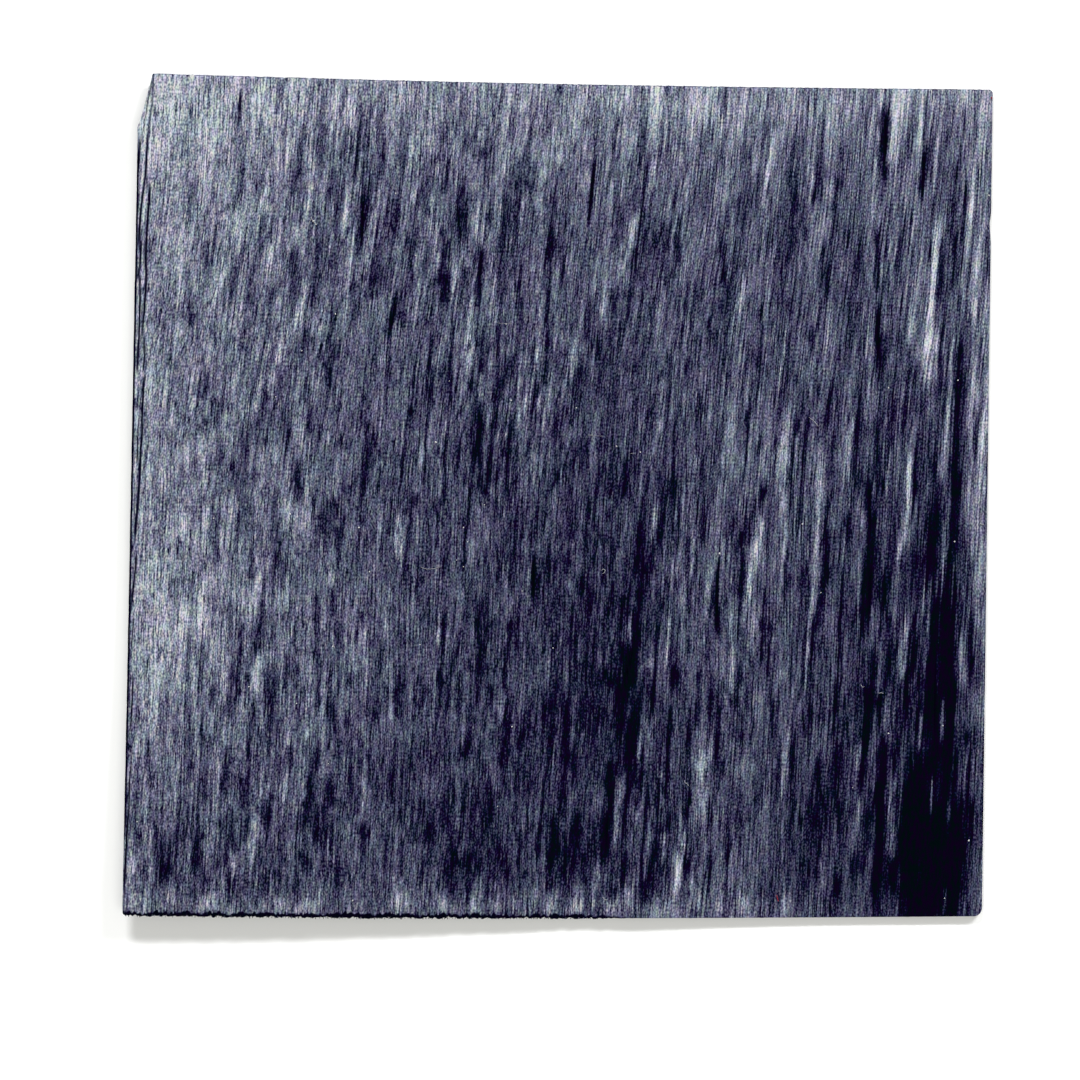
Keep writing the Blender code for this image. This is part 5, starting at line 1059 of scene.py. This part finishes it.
def makeWood():
    s = Shader("dyedWood")
    place = s.node("ShaderNodeTexCoord", output=3)
    place = s.node("ShaderNodeVectorMath", {"operation": "SCALE"}, {0: place, "Scale": 1000.0})
    x = s.node("ShaderNodeSeparateXYZ", sockets={0: place}, output=0)
    y = Socket(s, x.output.node.outputs[1])

    def attribute(name):
        return s.node("ShaderNodeAttribute", {"attribute_name": name}, output=2)

    def at(acrossPlace, alongPlace, size, seed=0.0):
        # the place measured in the sizes of a kind of mark
        sockets = {0: acrossPlace / size[0], 1: alongPlace / size[1], 2: seed}
        return s.node("ShaderNodeCombineXYZ", sockets=sockets)

    def wave(where, detail=1.0):
        # noise from about -0.5 to 0.5
        made = s.node("ShaderNodeTexNoise", sockets={"Vector": where, "Scale": 1.0, "Detail": detail})
        return made - 0.5

    def cells(where):
        # the distance from the middle of each cell, and a random share for the cell
        made = s.node("ShaderNodeTexVoronoi", {"voronoi_dimensions": "2D"}, {"Vector": where, "Scale": 1.0})
        colour = Socket(s, made.output.node.outputs[1])
        return made, s.node("ShaderNodeSeparateColor", sockets={0: colour})

    def between(value, low, high):
        # 0 below the low value, 1 above the high one
        settings = {"interpolation_type": "SMOOTHSTEP"}
        return s.node("ShaderNodeMapRange", settings, {0: value, 1: low, 2: high})

    # places across the grain that lean and sweep as it does, and places along it with uneven ends
    sweep = attribute("sweep")
    run = x - y * wood["lean"] + wave(at(x, y, wood["waver"], 2.0)) * wood["waver"][2]
    swept = run - sweep
    strayed = run - sweep * wood["sweptShare"]
    along = y * (0.95 - x * 0.009)
    narrow = wave(at(run, along, wood["narrowEnds"], 5.0), 0.0) * wood["narrowEnds"][2]
    wide = wave(at(run, along, wood["wideEnds"], 6.0), 0.0) * wood["wideEnds"][2]
    uneven = along + (narrow + wide)

    # broad marks: light and dark figuring, partly the wood's colour and partly painted sheen, and strips of
    # colour
    figureAndSheen = between(wave(at(swept, uneven, wood["figureAndSheen"], 11.0), 2.0), -0.15, 0.15) - 0.5
    patchesAndSheen = between(wave(at(swept, uneven, wood["patchesAndSheen"], 13.0), 1.0), -0.15, 0.15) - 0.5
    stripPlace = at(strayed, along, wood["strips"])
    strips = (cells(stripPlace)[1] - 0.5) * (wood["strips"][2] + x * wood["stripsToRight"])
    broad = figureAndSheen * wood["figureAndSheen"][2] + patchesAndSheen * wood["patchesAndSheen"][2] + strips

    # fine marks
    border = s.node(
        "ShaderNodeTexVoronoi", {"voronoi_dimensions": "2D", "feature": "DISTANCE_TO_EDGE"},
        {"Vector": stripPlace, "Scale": 1.0},
    )
    seams = between(border, 0.1, 0.02) * between(wave(at(strayed, along, (1.2, 5.0), 35.0)), -0.08, 0.05)
    longFibres = between(wave(at(strayed, along, wood["longFibres"], 19.0), 0.0), -0.14, 0.14) - 0.5
    longFibres = longFibres * between(wave(at(strayed, along, (1.4, 4.0), 20.0)), -0.16, 0.1)
    fibres = wave(at(strayed, along, wood["fibres"], 21.0), 0.0)
    speckle = wave(at(strayed, y, wood["speckle"], 25.0), 0.0)
    distance, share = cells(at(strayed, along, wood["pores"]))
    pores = between(distance, 0.27, 0.1) * between(share, 0.5, 0.55)
    distance, share = cells(at(strayed + 40.0, along, wood["streaks"]))
    streaks = between(distance, 0.3, 0.1) * between(share, 0.55, 0.6)
    fine = fibres * wood["fibres"][2] + longFibres * wood["longFibres"][2] + speckle * wood["speckle"][2]
    fine = fine - seams * wood["seams"] - pores * wood["pores"][2] + streaks * wood["streaks"][2]

    # tone, then colour
    least, more = wood["strength"]
    tone = attribute("tone") + wood["baseTone"]
    tone = tone + (fine + broad) * (tone * more + least)
    # the edges' darkness, partly dye and partly painted shade, draws the tone to the rim tone
    rim = attribute("rim")
    tone = tone * (1 - rim) + rim * wood["rimTone"]
    stops = [(stop, linear(*colour, share=wood["exposure"])) for stop, colour in wood["colours"]]
    colour = s.node("ShaderNodeValToRGB", {"stops": stops}, {0: tone})
    hue = wave(at(run, y, (0.36, 1.0), 41.0), 1.0) + wave(at(run, y, (3.0, 6.0), 43.0)) * 0.5
    hue = between(hue, -0.2, 0.2)
    blue = between(wave(at(run, y, (0.4, 1.3), 45.0), 1.0), -0.2, 0.2)
    tint = s.mix(1.0, s.mix(hue, *wood["redToGreen"]), s.mix(blue, *wood["blueToYellow"]), "MULTIPLY")
    colour = s.mix(1.0, colour, tint, "MULTIPLY")
    colour = s.node("ShaderNodeVectorMath", {"operation": "ADD"}, {0: colour, 1: s.mix(hue, *wood["stain"])})
    bump = s.node("ShaderNodeBump", sockets={"Strength": 0.6, "Distance": wood["relief"], "Height": fine})
    roughness = wood["roughness"] - tone * 0.3
    return s.finish(Base_Color=colour, Roughness=roughness, Normal=bump, Specular_IOR_Level=0.01)


def keepInCad(place):
    return Vector(min(max(part, low), high) for part, low, high in zip(place, cadLow, cadHigh))


def faceAt(x, y, above=0.0):
    # the place on the sanded face at x and y, in metres, raised by some millimetres
    lift = float(liftAt(np.array([x]), np.array([y]))[0])
    return keepInCad((x * mm, y * mm, (lift + sheet["thickness"] + above) * mm))


def addPiece(name, mesh, material):
    piece = bpy.data.objects.new(name, mesh)
    bpy.context.scene.collection.objects.link(piece)
    mesh.materials.append(material)
    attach(piece, "root")
    return piece


def addThread(bm, places, radii, sides=5):
    # a closed round thread through the places; its points are returned
    way = (places[1] - places[0]).normalized()
    turn = way.to_track_quat("Z", "Y").to_matrix().to_4x4()
    ring = bmesh.ops.create_circle(
        bm, cap_ends=True, radius=radii[0] * mm, segments=sides, matrix=Matrix.Translation(places[0]) @ turn,
    )["verts"]
    made, face = list(ring), ring[0].link_faces[0]
    for index in range(1, len(places)):
        grown = bmesh.ops.extrude_face_region(bm, geom=[face])["geom"]
        face = next(part for part in grown if isinstance(part, bmesh.types.BMFace))
        ring, here = list(face.verts), places[index]
        bmesh.ops.translate(bm, verts=ring, vec=here - places[index - 1])
        nextWay = (places[min(index + 1, len(places) - 1)] - places[index - 1]).normalized()
        bmesh.ops.rotate(bm, cent=here, matrix=way.rotation_difference(nextWay).to_matrix(), verts=ring)
        share = radii[index] / radii[index - 1]
        bmesh.ops.scale(bm, vec=(share, share, share), space=Matrix.Translation(-here), verts=ring)
        way = nextWay
        made += ring
    return made


def finishPiece(name, bm, material):
    # keeps the piece inside the CAD box, turns its faces outward and adds it
    for point in bm.verts:
        point.co = keepInCad(point.co)
    bmesh.ops.recalc_face_normals(bm, faces=bm.faces)
    mesh = bpy.data.meshes.new(name)
    bm.to_mesh(mesh)
    bm.free()
    return addPiece(name, mesh, material)


def makeSoftColour(name, paler, darker):
    # matt finish for dust and lint, a little uneven
    s = Shader(name)
    place = s.node("ShaderNodeTexCoord", output=3)
    blotch = s.node("ShaderNodeTexNoise", {}, {"Vector": place, "Scale": 2500.0})
    ends = [linear(*colour, share=wood["exposure"]) for colour in (paler, darker)]
    return s.finish(Base_Color=s.mix(blotch, *ends), Roughness=0.9, Specular_IOR_Level=0.1)


# Specks of dust: x, y and size in millimetres
dust = {
    "specks": (
        (29.2, -3.3, 0.2), (31.4, -11.5, 0.18), (47.4, -5.4, 0.2), (39.5, -28.3, 0.22),
        (49.1, -41.1, 0.24), (46.0, -27.4, 0.18), (35.2, -34.8, 0.16), (46.2, -48.0, 0.16),
        (47.8, 13.9, 0.26), (39.5, 13.0, 0.28), (44.2, 1.5, 0.16), (27.1, 4.8, 0.16), (51.5, 36.0, 0.26),
        (19.3, -6.8, 0.26), (13.0, -18.0, 0.16), (17.9, -10.6, 0.16), (5.0, 45.0, 0.18),
        (9.85, 5.3, 0.22), (7.0, 6.0, 0.24), (2.2, 10.6, 0.18), (-23.8, -3.7, 0.26), (-11.3, -3.7, 0.2),
        (-10.8, -5.4, 0.16), (-12.1, -7.6, 0.18), (-11.3, -8.4, 0.16), (-8.8, -1.0, 0.16),
        (-16.5, -17.7, 0.18), (-22.5, -9.0, 0.2), (-0.6, -18.1, 0.18), (-4.3, -11.3, 0.16),
        (-5.5, -27.5, 0.24), (-24.5, -48.2, 0.2), (-7.2, -37.0, 0.16), (-39.0, 38.2, 0.26),
        (-39.05, 36.7, 0.24), (-35.4, 38.6, 0.18), (-42.8, 34.8, 0.2), (-42.9, 33.8, 0.18),
        (-29.2, 32.9, 0.32), (-28.9, 32.5, 0.2), (-26.6, 21.8, 0.22), (-30.6, 17.4, 0.18),
        (-33.7, 11.9, 0.2), (-19.4, 36.2, 0.28), (-20.7, 43.7, 0.2), (-25.2, 40.9, 0.18),
        (-15.9, 32.9, 0.16), (-17.0, 28.8, 0.18), (-14.6, 6.5, 0.34), (-5.6, 11.5, 0.2),
        (-13.0, 13.8, 0.16), (-46.3, -18.4, 0.28), (-45.8, -20.1, 0.18), (-47.7, -27.5, 0.24),
        (-27.4, -31.9, 0.18), (-32.0, -2.1, 0.24), (-41.1, -2.6, 0.2), (-36.9, -22.7, 0.2),
        (-50.2, -38.8, 0.18), (-35.9, 43.0, 0.2), (-35.9, 41.1, 0.18), (-6.2, 20.6, 0.16),
        (-26.9, -17.9, 0.2), (-31.2, -24.7, 0.16), (-37.0, -15.1, 0.18), (8.9, -49.2, 0.2),
        (-18.7, -47.5, 0.16),
    ),
    "flatness": 0.35,            # height as a share of the size
    "narrowness": (0.6, 1.0),    # width as a share of the size
    "lumps": (-0.3, 0.2),
    "above": 0.02,               # height of the middle above the face
    "white": (250, 250, 246),
    "grey": (196, 198, 202),
}


def addSpeck(bm, place, size, draw):
    # a small lumpy crumb
    turn = Matrix.Rotation(draw.uniform(0, math.pi), 4, "Z")
    width = size * draw.uniform(*dust["narrowness"])
    shape = Matrix.Translation(place) @ turn @ Matrix.Diagonal((width, size, size * dust["flatness"], 1.0))
    made = bmesh.ops.create_icosphere(bm, subdivisions=1, radius=0.5 * mm, matrix=shape)
    for point in made["verts"]:
        point.co += (point.co - place) * draw.uniform(*dust["lumps"])


def makeDust():
    draw = random.Random(3)
    bm = bmesh.new()
    for x, y, size in dust["specks"]:
        addSpeck(bm, faceAt(x, y, dust["above"]), size, draw)
    finishPiece("dustSpecks", bm, makeSoftColour("paleDust", dust["white"], dust["grey"]))


# Lint and hairs: thickness, then the points that each thread runs through
lint = {
    "pale": (
        (0.06, (3.6, 7.33), (4.2, 7.3)),
        (0.025, (4.2, 7.3), (4.9, 7.22), (5.5, 7.2)),
        (0.035, (8.6, 5.15), (9.2, 5.15)),
        (0.06, (30.0, 9.5), (30.6, 9.0), (31.1, 8.4)),
        (0.06, (15.1, -33.9), (15.2, -34.2), (15.45, -34.35), (15.6, -34.6)),
        (0.07, (5.3, -47.8), (5.5, -48.1), (5.9, -48.2)),
        (0.06, (5.2, -8.8), (5.4, -8.65), (5.65, -8.8), (5.55, -9.1), (5.3, -9.2)),
        (0.06, (38.3, -23.5), (38.6, -23.45), (38.9, -23.5)),
        (0.1, (50.4, -3.2), (50.65, -3.35), (50.9, -3.3)),
        (0.05, (-16.5, -8.4), (-15.7, -8.7), (-14.8, -8.6), (-14.0, -8.4)),
        (0.09, (-29.5, 33.4), (-29.4, 33.1), (-29.2, 32.9), (-29.0, 32.6)),
        (0.05, (-31.2, 31.2), (-31.0, 31.8), (-30.5, 32.1), (-29.8, 32.4), (-29.5, 33.2)),
        (0.035, (-7.3, 20.75), (-6.7, 20.7), (-6.2, 20.65), (-5.5, 20.7)),
        (0.05, (36.2, -22.5), (36.4, -22.8), (36.6, -22.7)),
        (0.06, (-26.9, -17.2), (-26.85, -17.6), (-26.7, -18.1)),
    ),
    "red": (
        (0.1, (26.1, -47.6), (26.2, -48.0), (26.35, -48.4)),
        (0.16, (51.75, 47.75), (51.85, 47.5)),
    ),
    "paleColours": ((206, 206, 208), (150, 152, 166)),
    "redColours": ((176, 40, 52), (120, 22, 40)),
    "wander": 0.03,
    "steps": 4,
    "above": 0.6,          # height of the middle above the face, in thicknesses
    "endAbove": 0.5,
    "thinner": 2.5,        # how many times thinner a thread is at its ends
}


def makeLint(name, threads, colours):
    draw = random.Random(5)
    bm = bmesh.new()
    for thickness, *points in threads:
        places = []
        for (ax, ay), (bx, by) in zip(points, points[1:]):
            for step in range(lint["steps"]):
                share = step / lint["steps"]
                x = ax + (bx - ax) * share
                y = ay + (by - ay) * share + draw.uniform(-1, 1) * lint["wander"]
                places.append(faceAt(x, y, thickness * lint["above"]))
        places.append(faceAt(*points[-1], thickness * lint["endAbove"]))
        radii = [thickness / 2] * len(places)
        radii[0] = radii[-1] = thickness / 2 / lint["thinner"]
        addThread(bm, places, radii)
    finishPiece(name, bm, makeSoftColour(name, *colours))


# Loose slivers in the splintered edge: thickness, paleness, then the three points of each
slivers = (
    (0.16, 0.18, (-49.75, 41.0), (-49.95, 37.0), (-50.05, 33.5)),
    (0.2, 0.14, (-49.2, 34.5), (-49.35, 31.0), (-49.45, 27.0)),
    (0.13, 0.2, (-50.05, 25.5), (-50.15, 22.0), (-50.2, 19.0)),
    (0.18, 0.16, (-49.6, 24.0), (-49.7, 21.0), (-49.75, 18.0)),
    (0.12, 0.3, (-49.35, 15.2), (-49.55, 14.7), (-49.45, 14.2)),
    (0.14, 0.26, (-50.0, 6.5), (-50.05, 5.0), (-50.2, 3.0)),
    (0.14, 0.2, (-50.5, 3.0), (-50.55, 0.0), (-50.65, -4.0)),
    (0.12, 0.26, (-50.6, -7.5), (-50.7, -9.5), (-50.9, -11.5)),
    (0.12, 0.3, (-51.55, -40.5), (-51.7, -42.5), (-51.8, -44.5)),
    (0.1, 0.22, (-51.2, -31.0), (-51.3, -33.5), (-51.35, -36.0)),
)
sliverSunk = 0.03
sliverTip = 0.25             # share of the thickness at the ends


def makeSlivers(material):
    bm = bmesh.new()
    tone = bm.verts.layers.float.new("tone")
    for thickness, paleness, *points in slivers:
        places = []
        for (ax, ay), (bx, by) in zip(points, points[1:]):
            for share in (0, 0.33, 0.67):
                places.append(faceAt(ax + (bx - ax) * share, ay + (by - ay) * share, -sliverSunk))
        places.append(faceAt(*points[-1], -sliverSunk))
        last = len(places) - 1
        swell = [math.sin(math.pi * index / last) for index in range(last + 1)]
        radii = [thickness / 2 * (sliverTip + (1 - sliverTip) * part) for part in swell]
        for point in addThread(bm, places, radii, sides=6):
            point[tone] = paleness
    finishPiece("edgeSlivers", bm, material)


# Broken ends of fibres along the torn bottom edge, in millimetres
fray = {
    "count": 170,
    "start": 0.3,            # how far in from the left corner the first one is
    "fall": 0.3,             # how far the line of fibre ends falls from left to right
    "inset": 0.25,
    "below": (0.05, 0.45),   # below the face
    "length": (0.12, 0.34),
    "thickness": (0.05, 0.12),
    "sway": 0.06,
    "sag": 0.05,
    "thinner": 3.0,          # how many times thinner the tip is
    "paleShare": 0.22,
    "paleTone": 0.3,
    "darkTone": -0.25,
}


def makeFray(material):
    draw = random.Random(11)
    bm = bmesh.new()
    tone = bm.verts.layers.float.new("tone")
    startX = sheet["bottomLeft"][0] + fray["start"]
    for index in range(fray["count"]):
        x = startX + (torn["until"] - startX) * (index + draw.random()) / fray["count"]
        across = (x - sheet["bottomLeft"][0]) / (sheet["bottomRight"][0] - sheet["bottomLeft"][0])
        y = sheet["bottomLeft"][1] - fray["fall"] * across + sheet["bottomBow"] * math.sin(math.pi * across)
        length = draw.uniform(*fray["length"])
        radius = draw.uniform(*fray["thickness"]) / 2
        below = draw.uniform(*fray["below"])
        root = faceAt(x, y + fray["inset"], -below)
        tipX = x + draw.uniform(-fray["sway"], fray["sway"])
        tip = faceAt(tipX, y + fray["inset"] - length, -below - draw.uniform(0, fray["sag"]))
        fibreTone = fray["paleTone"] if draw.random() < fray["paleShare"] else fray["darkTone"]
        radii = [radius, radius, radius / fray["thinner"]]
        for point in addThread(bm, [root, (root + tip) / 2, tip], radii):
            point[tone] = fibreTone
    finishPiece("tornFibres", bm, material)


woodFinish = makeWood()
sheetMesh = makeSheetMesh()
shapeSheet(sheetMesh)
veneer = addPiece("dyedVeneer", sheetMesh, woodFinish)
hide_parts("veneer_sheet")
print("sheet:", len(sheetMesh.vertices), "points,", len(sheetMesh.polygons), "faces")
makeSlivers(woodFinish)
makeFray(woodFinish)
print("slivers and torn fibres ready")
makeDust()
makeLint("paleLint", lint["pale"], lint["paleColours"])
makeLint("redLint", lint["red"], lint["redColours"])
print("dust and lint ready")


# Floor, light and camera
studio = {
    "floorSize": 3.0,         # metres
    "floorGap": 0.02,         # millimetres of air under the flat part of the sheet
    "floorColour": (0.95, 0.95, 0.95),
    "fill": 0.24,
    "fillColour": (1.0, 1.0, 0.97),
    "keyColour": (0.99, 1.0, 1.01),
    "bounceColour": (1.0, 1.0, 0.95),
    # for each light: power in watts, height above the floor and turn away from the top end of the
    # sheet in degrees, then its distance, width and depth in metres
    "leftKey": (12.7, 29.3, -18.0, 1.2, 0.45, 0.14),
    "rightKey": (15.5, 23.6, 42.0, 1.2, 0.45, 0.14),
    "bounce": (8.0, 65.0, 180.0, 1.2, 1.6, 0.7),
    "lens": 200.0,
    "sensor": 36.0,
    "frameWidth": 129.06,     # millimetres of the floor seen from side to side
    "frameMiddle": (-2.15, -5.2),
}


def addLight(name, colour):
    power, height, turn, distance, width, depth = studio[name]
    data = bpy.data.lights.new(name, "AREA")
    data.shape = "RECTANGLE"
    data.size, data.size_y = width, depth
    data.energy = power
    data.color = colour
    light = bpy.data.objects.new(name, data)
    rise, aside = math.radians(height), math.radians(turn)
    way = Vector((math.sin(aside) * math.cos(rise), math.cos(aside) * math.cos(rise), math.sin(rise)))
    light.location = way * distance
    light.rotation_euler = (-light.location).to_track_quat("-Z", "Y").to_euler()
    bpy.context.scene.collection.objects.link(light)


def makeFloor():
    bm = bmesh.new()
    under = Matrix.Translation((0, 0, -studio["floorGap"] * mm))
    bmesh.ops.create_grid(bm, x_segments=1, y_segments=1, size=studio["floorSize"] / 2, matrix=under)
    mesh = bpy.data.meshes.new("floor")
    bm.to_mesh(mesh)
    bm.free()
    floor = bpy.data.objects.new("floor", mesh)
    bpy.context.scene.collection.objects.link(floor)
    s = Shader("paleFloor")
    mesh.materials.append(s.finish(Base_Color=studio["floorColour"], Roughness=0.9, Specular_IOR_Level=0.0))


def makeLight():
    world = bpy.data.worlds.new("studio")
    world.use_nodes = True
    background = world.node_tree.nodes["Background"]
    background.inputs[0].default_value = (*studio["fillColour"], 1.0)
    background.inputs[1].default_value = studio["fill"]
    bpy.context.scene.world = world
    addLight("leftKey", studio["keyColour"])
    addLight("rightKey", studio["keyColour"])
    addLight("bounce", studio["bounceColour"])


def makeCamera():
    data = bpy.data.cameras.new("camera")
    data.lens = studio["lens"]
    data.sensor_width = studio["sensor"]
    camera = bpy.data.objects.new("camera", data)
    away = studio["frameWidth"] * mm * data.lens / data.sensor_width
    x, y = studio["frameMiddle"]
    camera.location = (x * mm, y * mm, away + sheet["thickness"] * mm)
    bpy.context.scene.collection.objects.link(camera)
    bpy.context.scene.camera = camera


makeFloor()
makeLight()
makeCamera()
bpy.context.scene.view_settings.view_transform = "Standard"
print("studio ready")
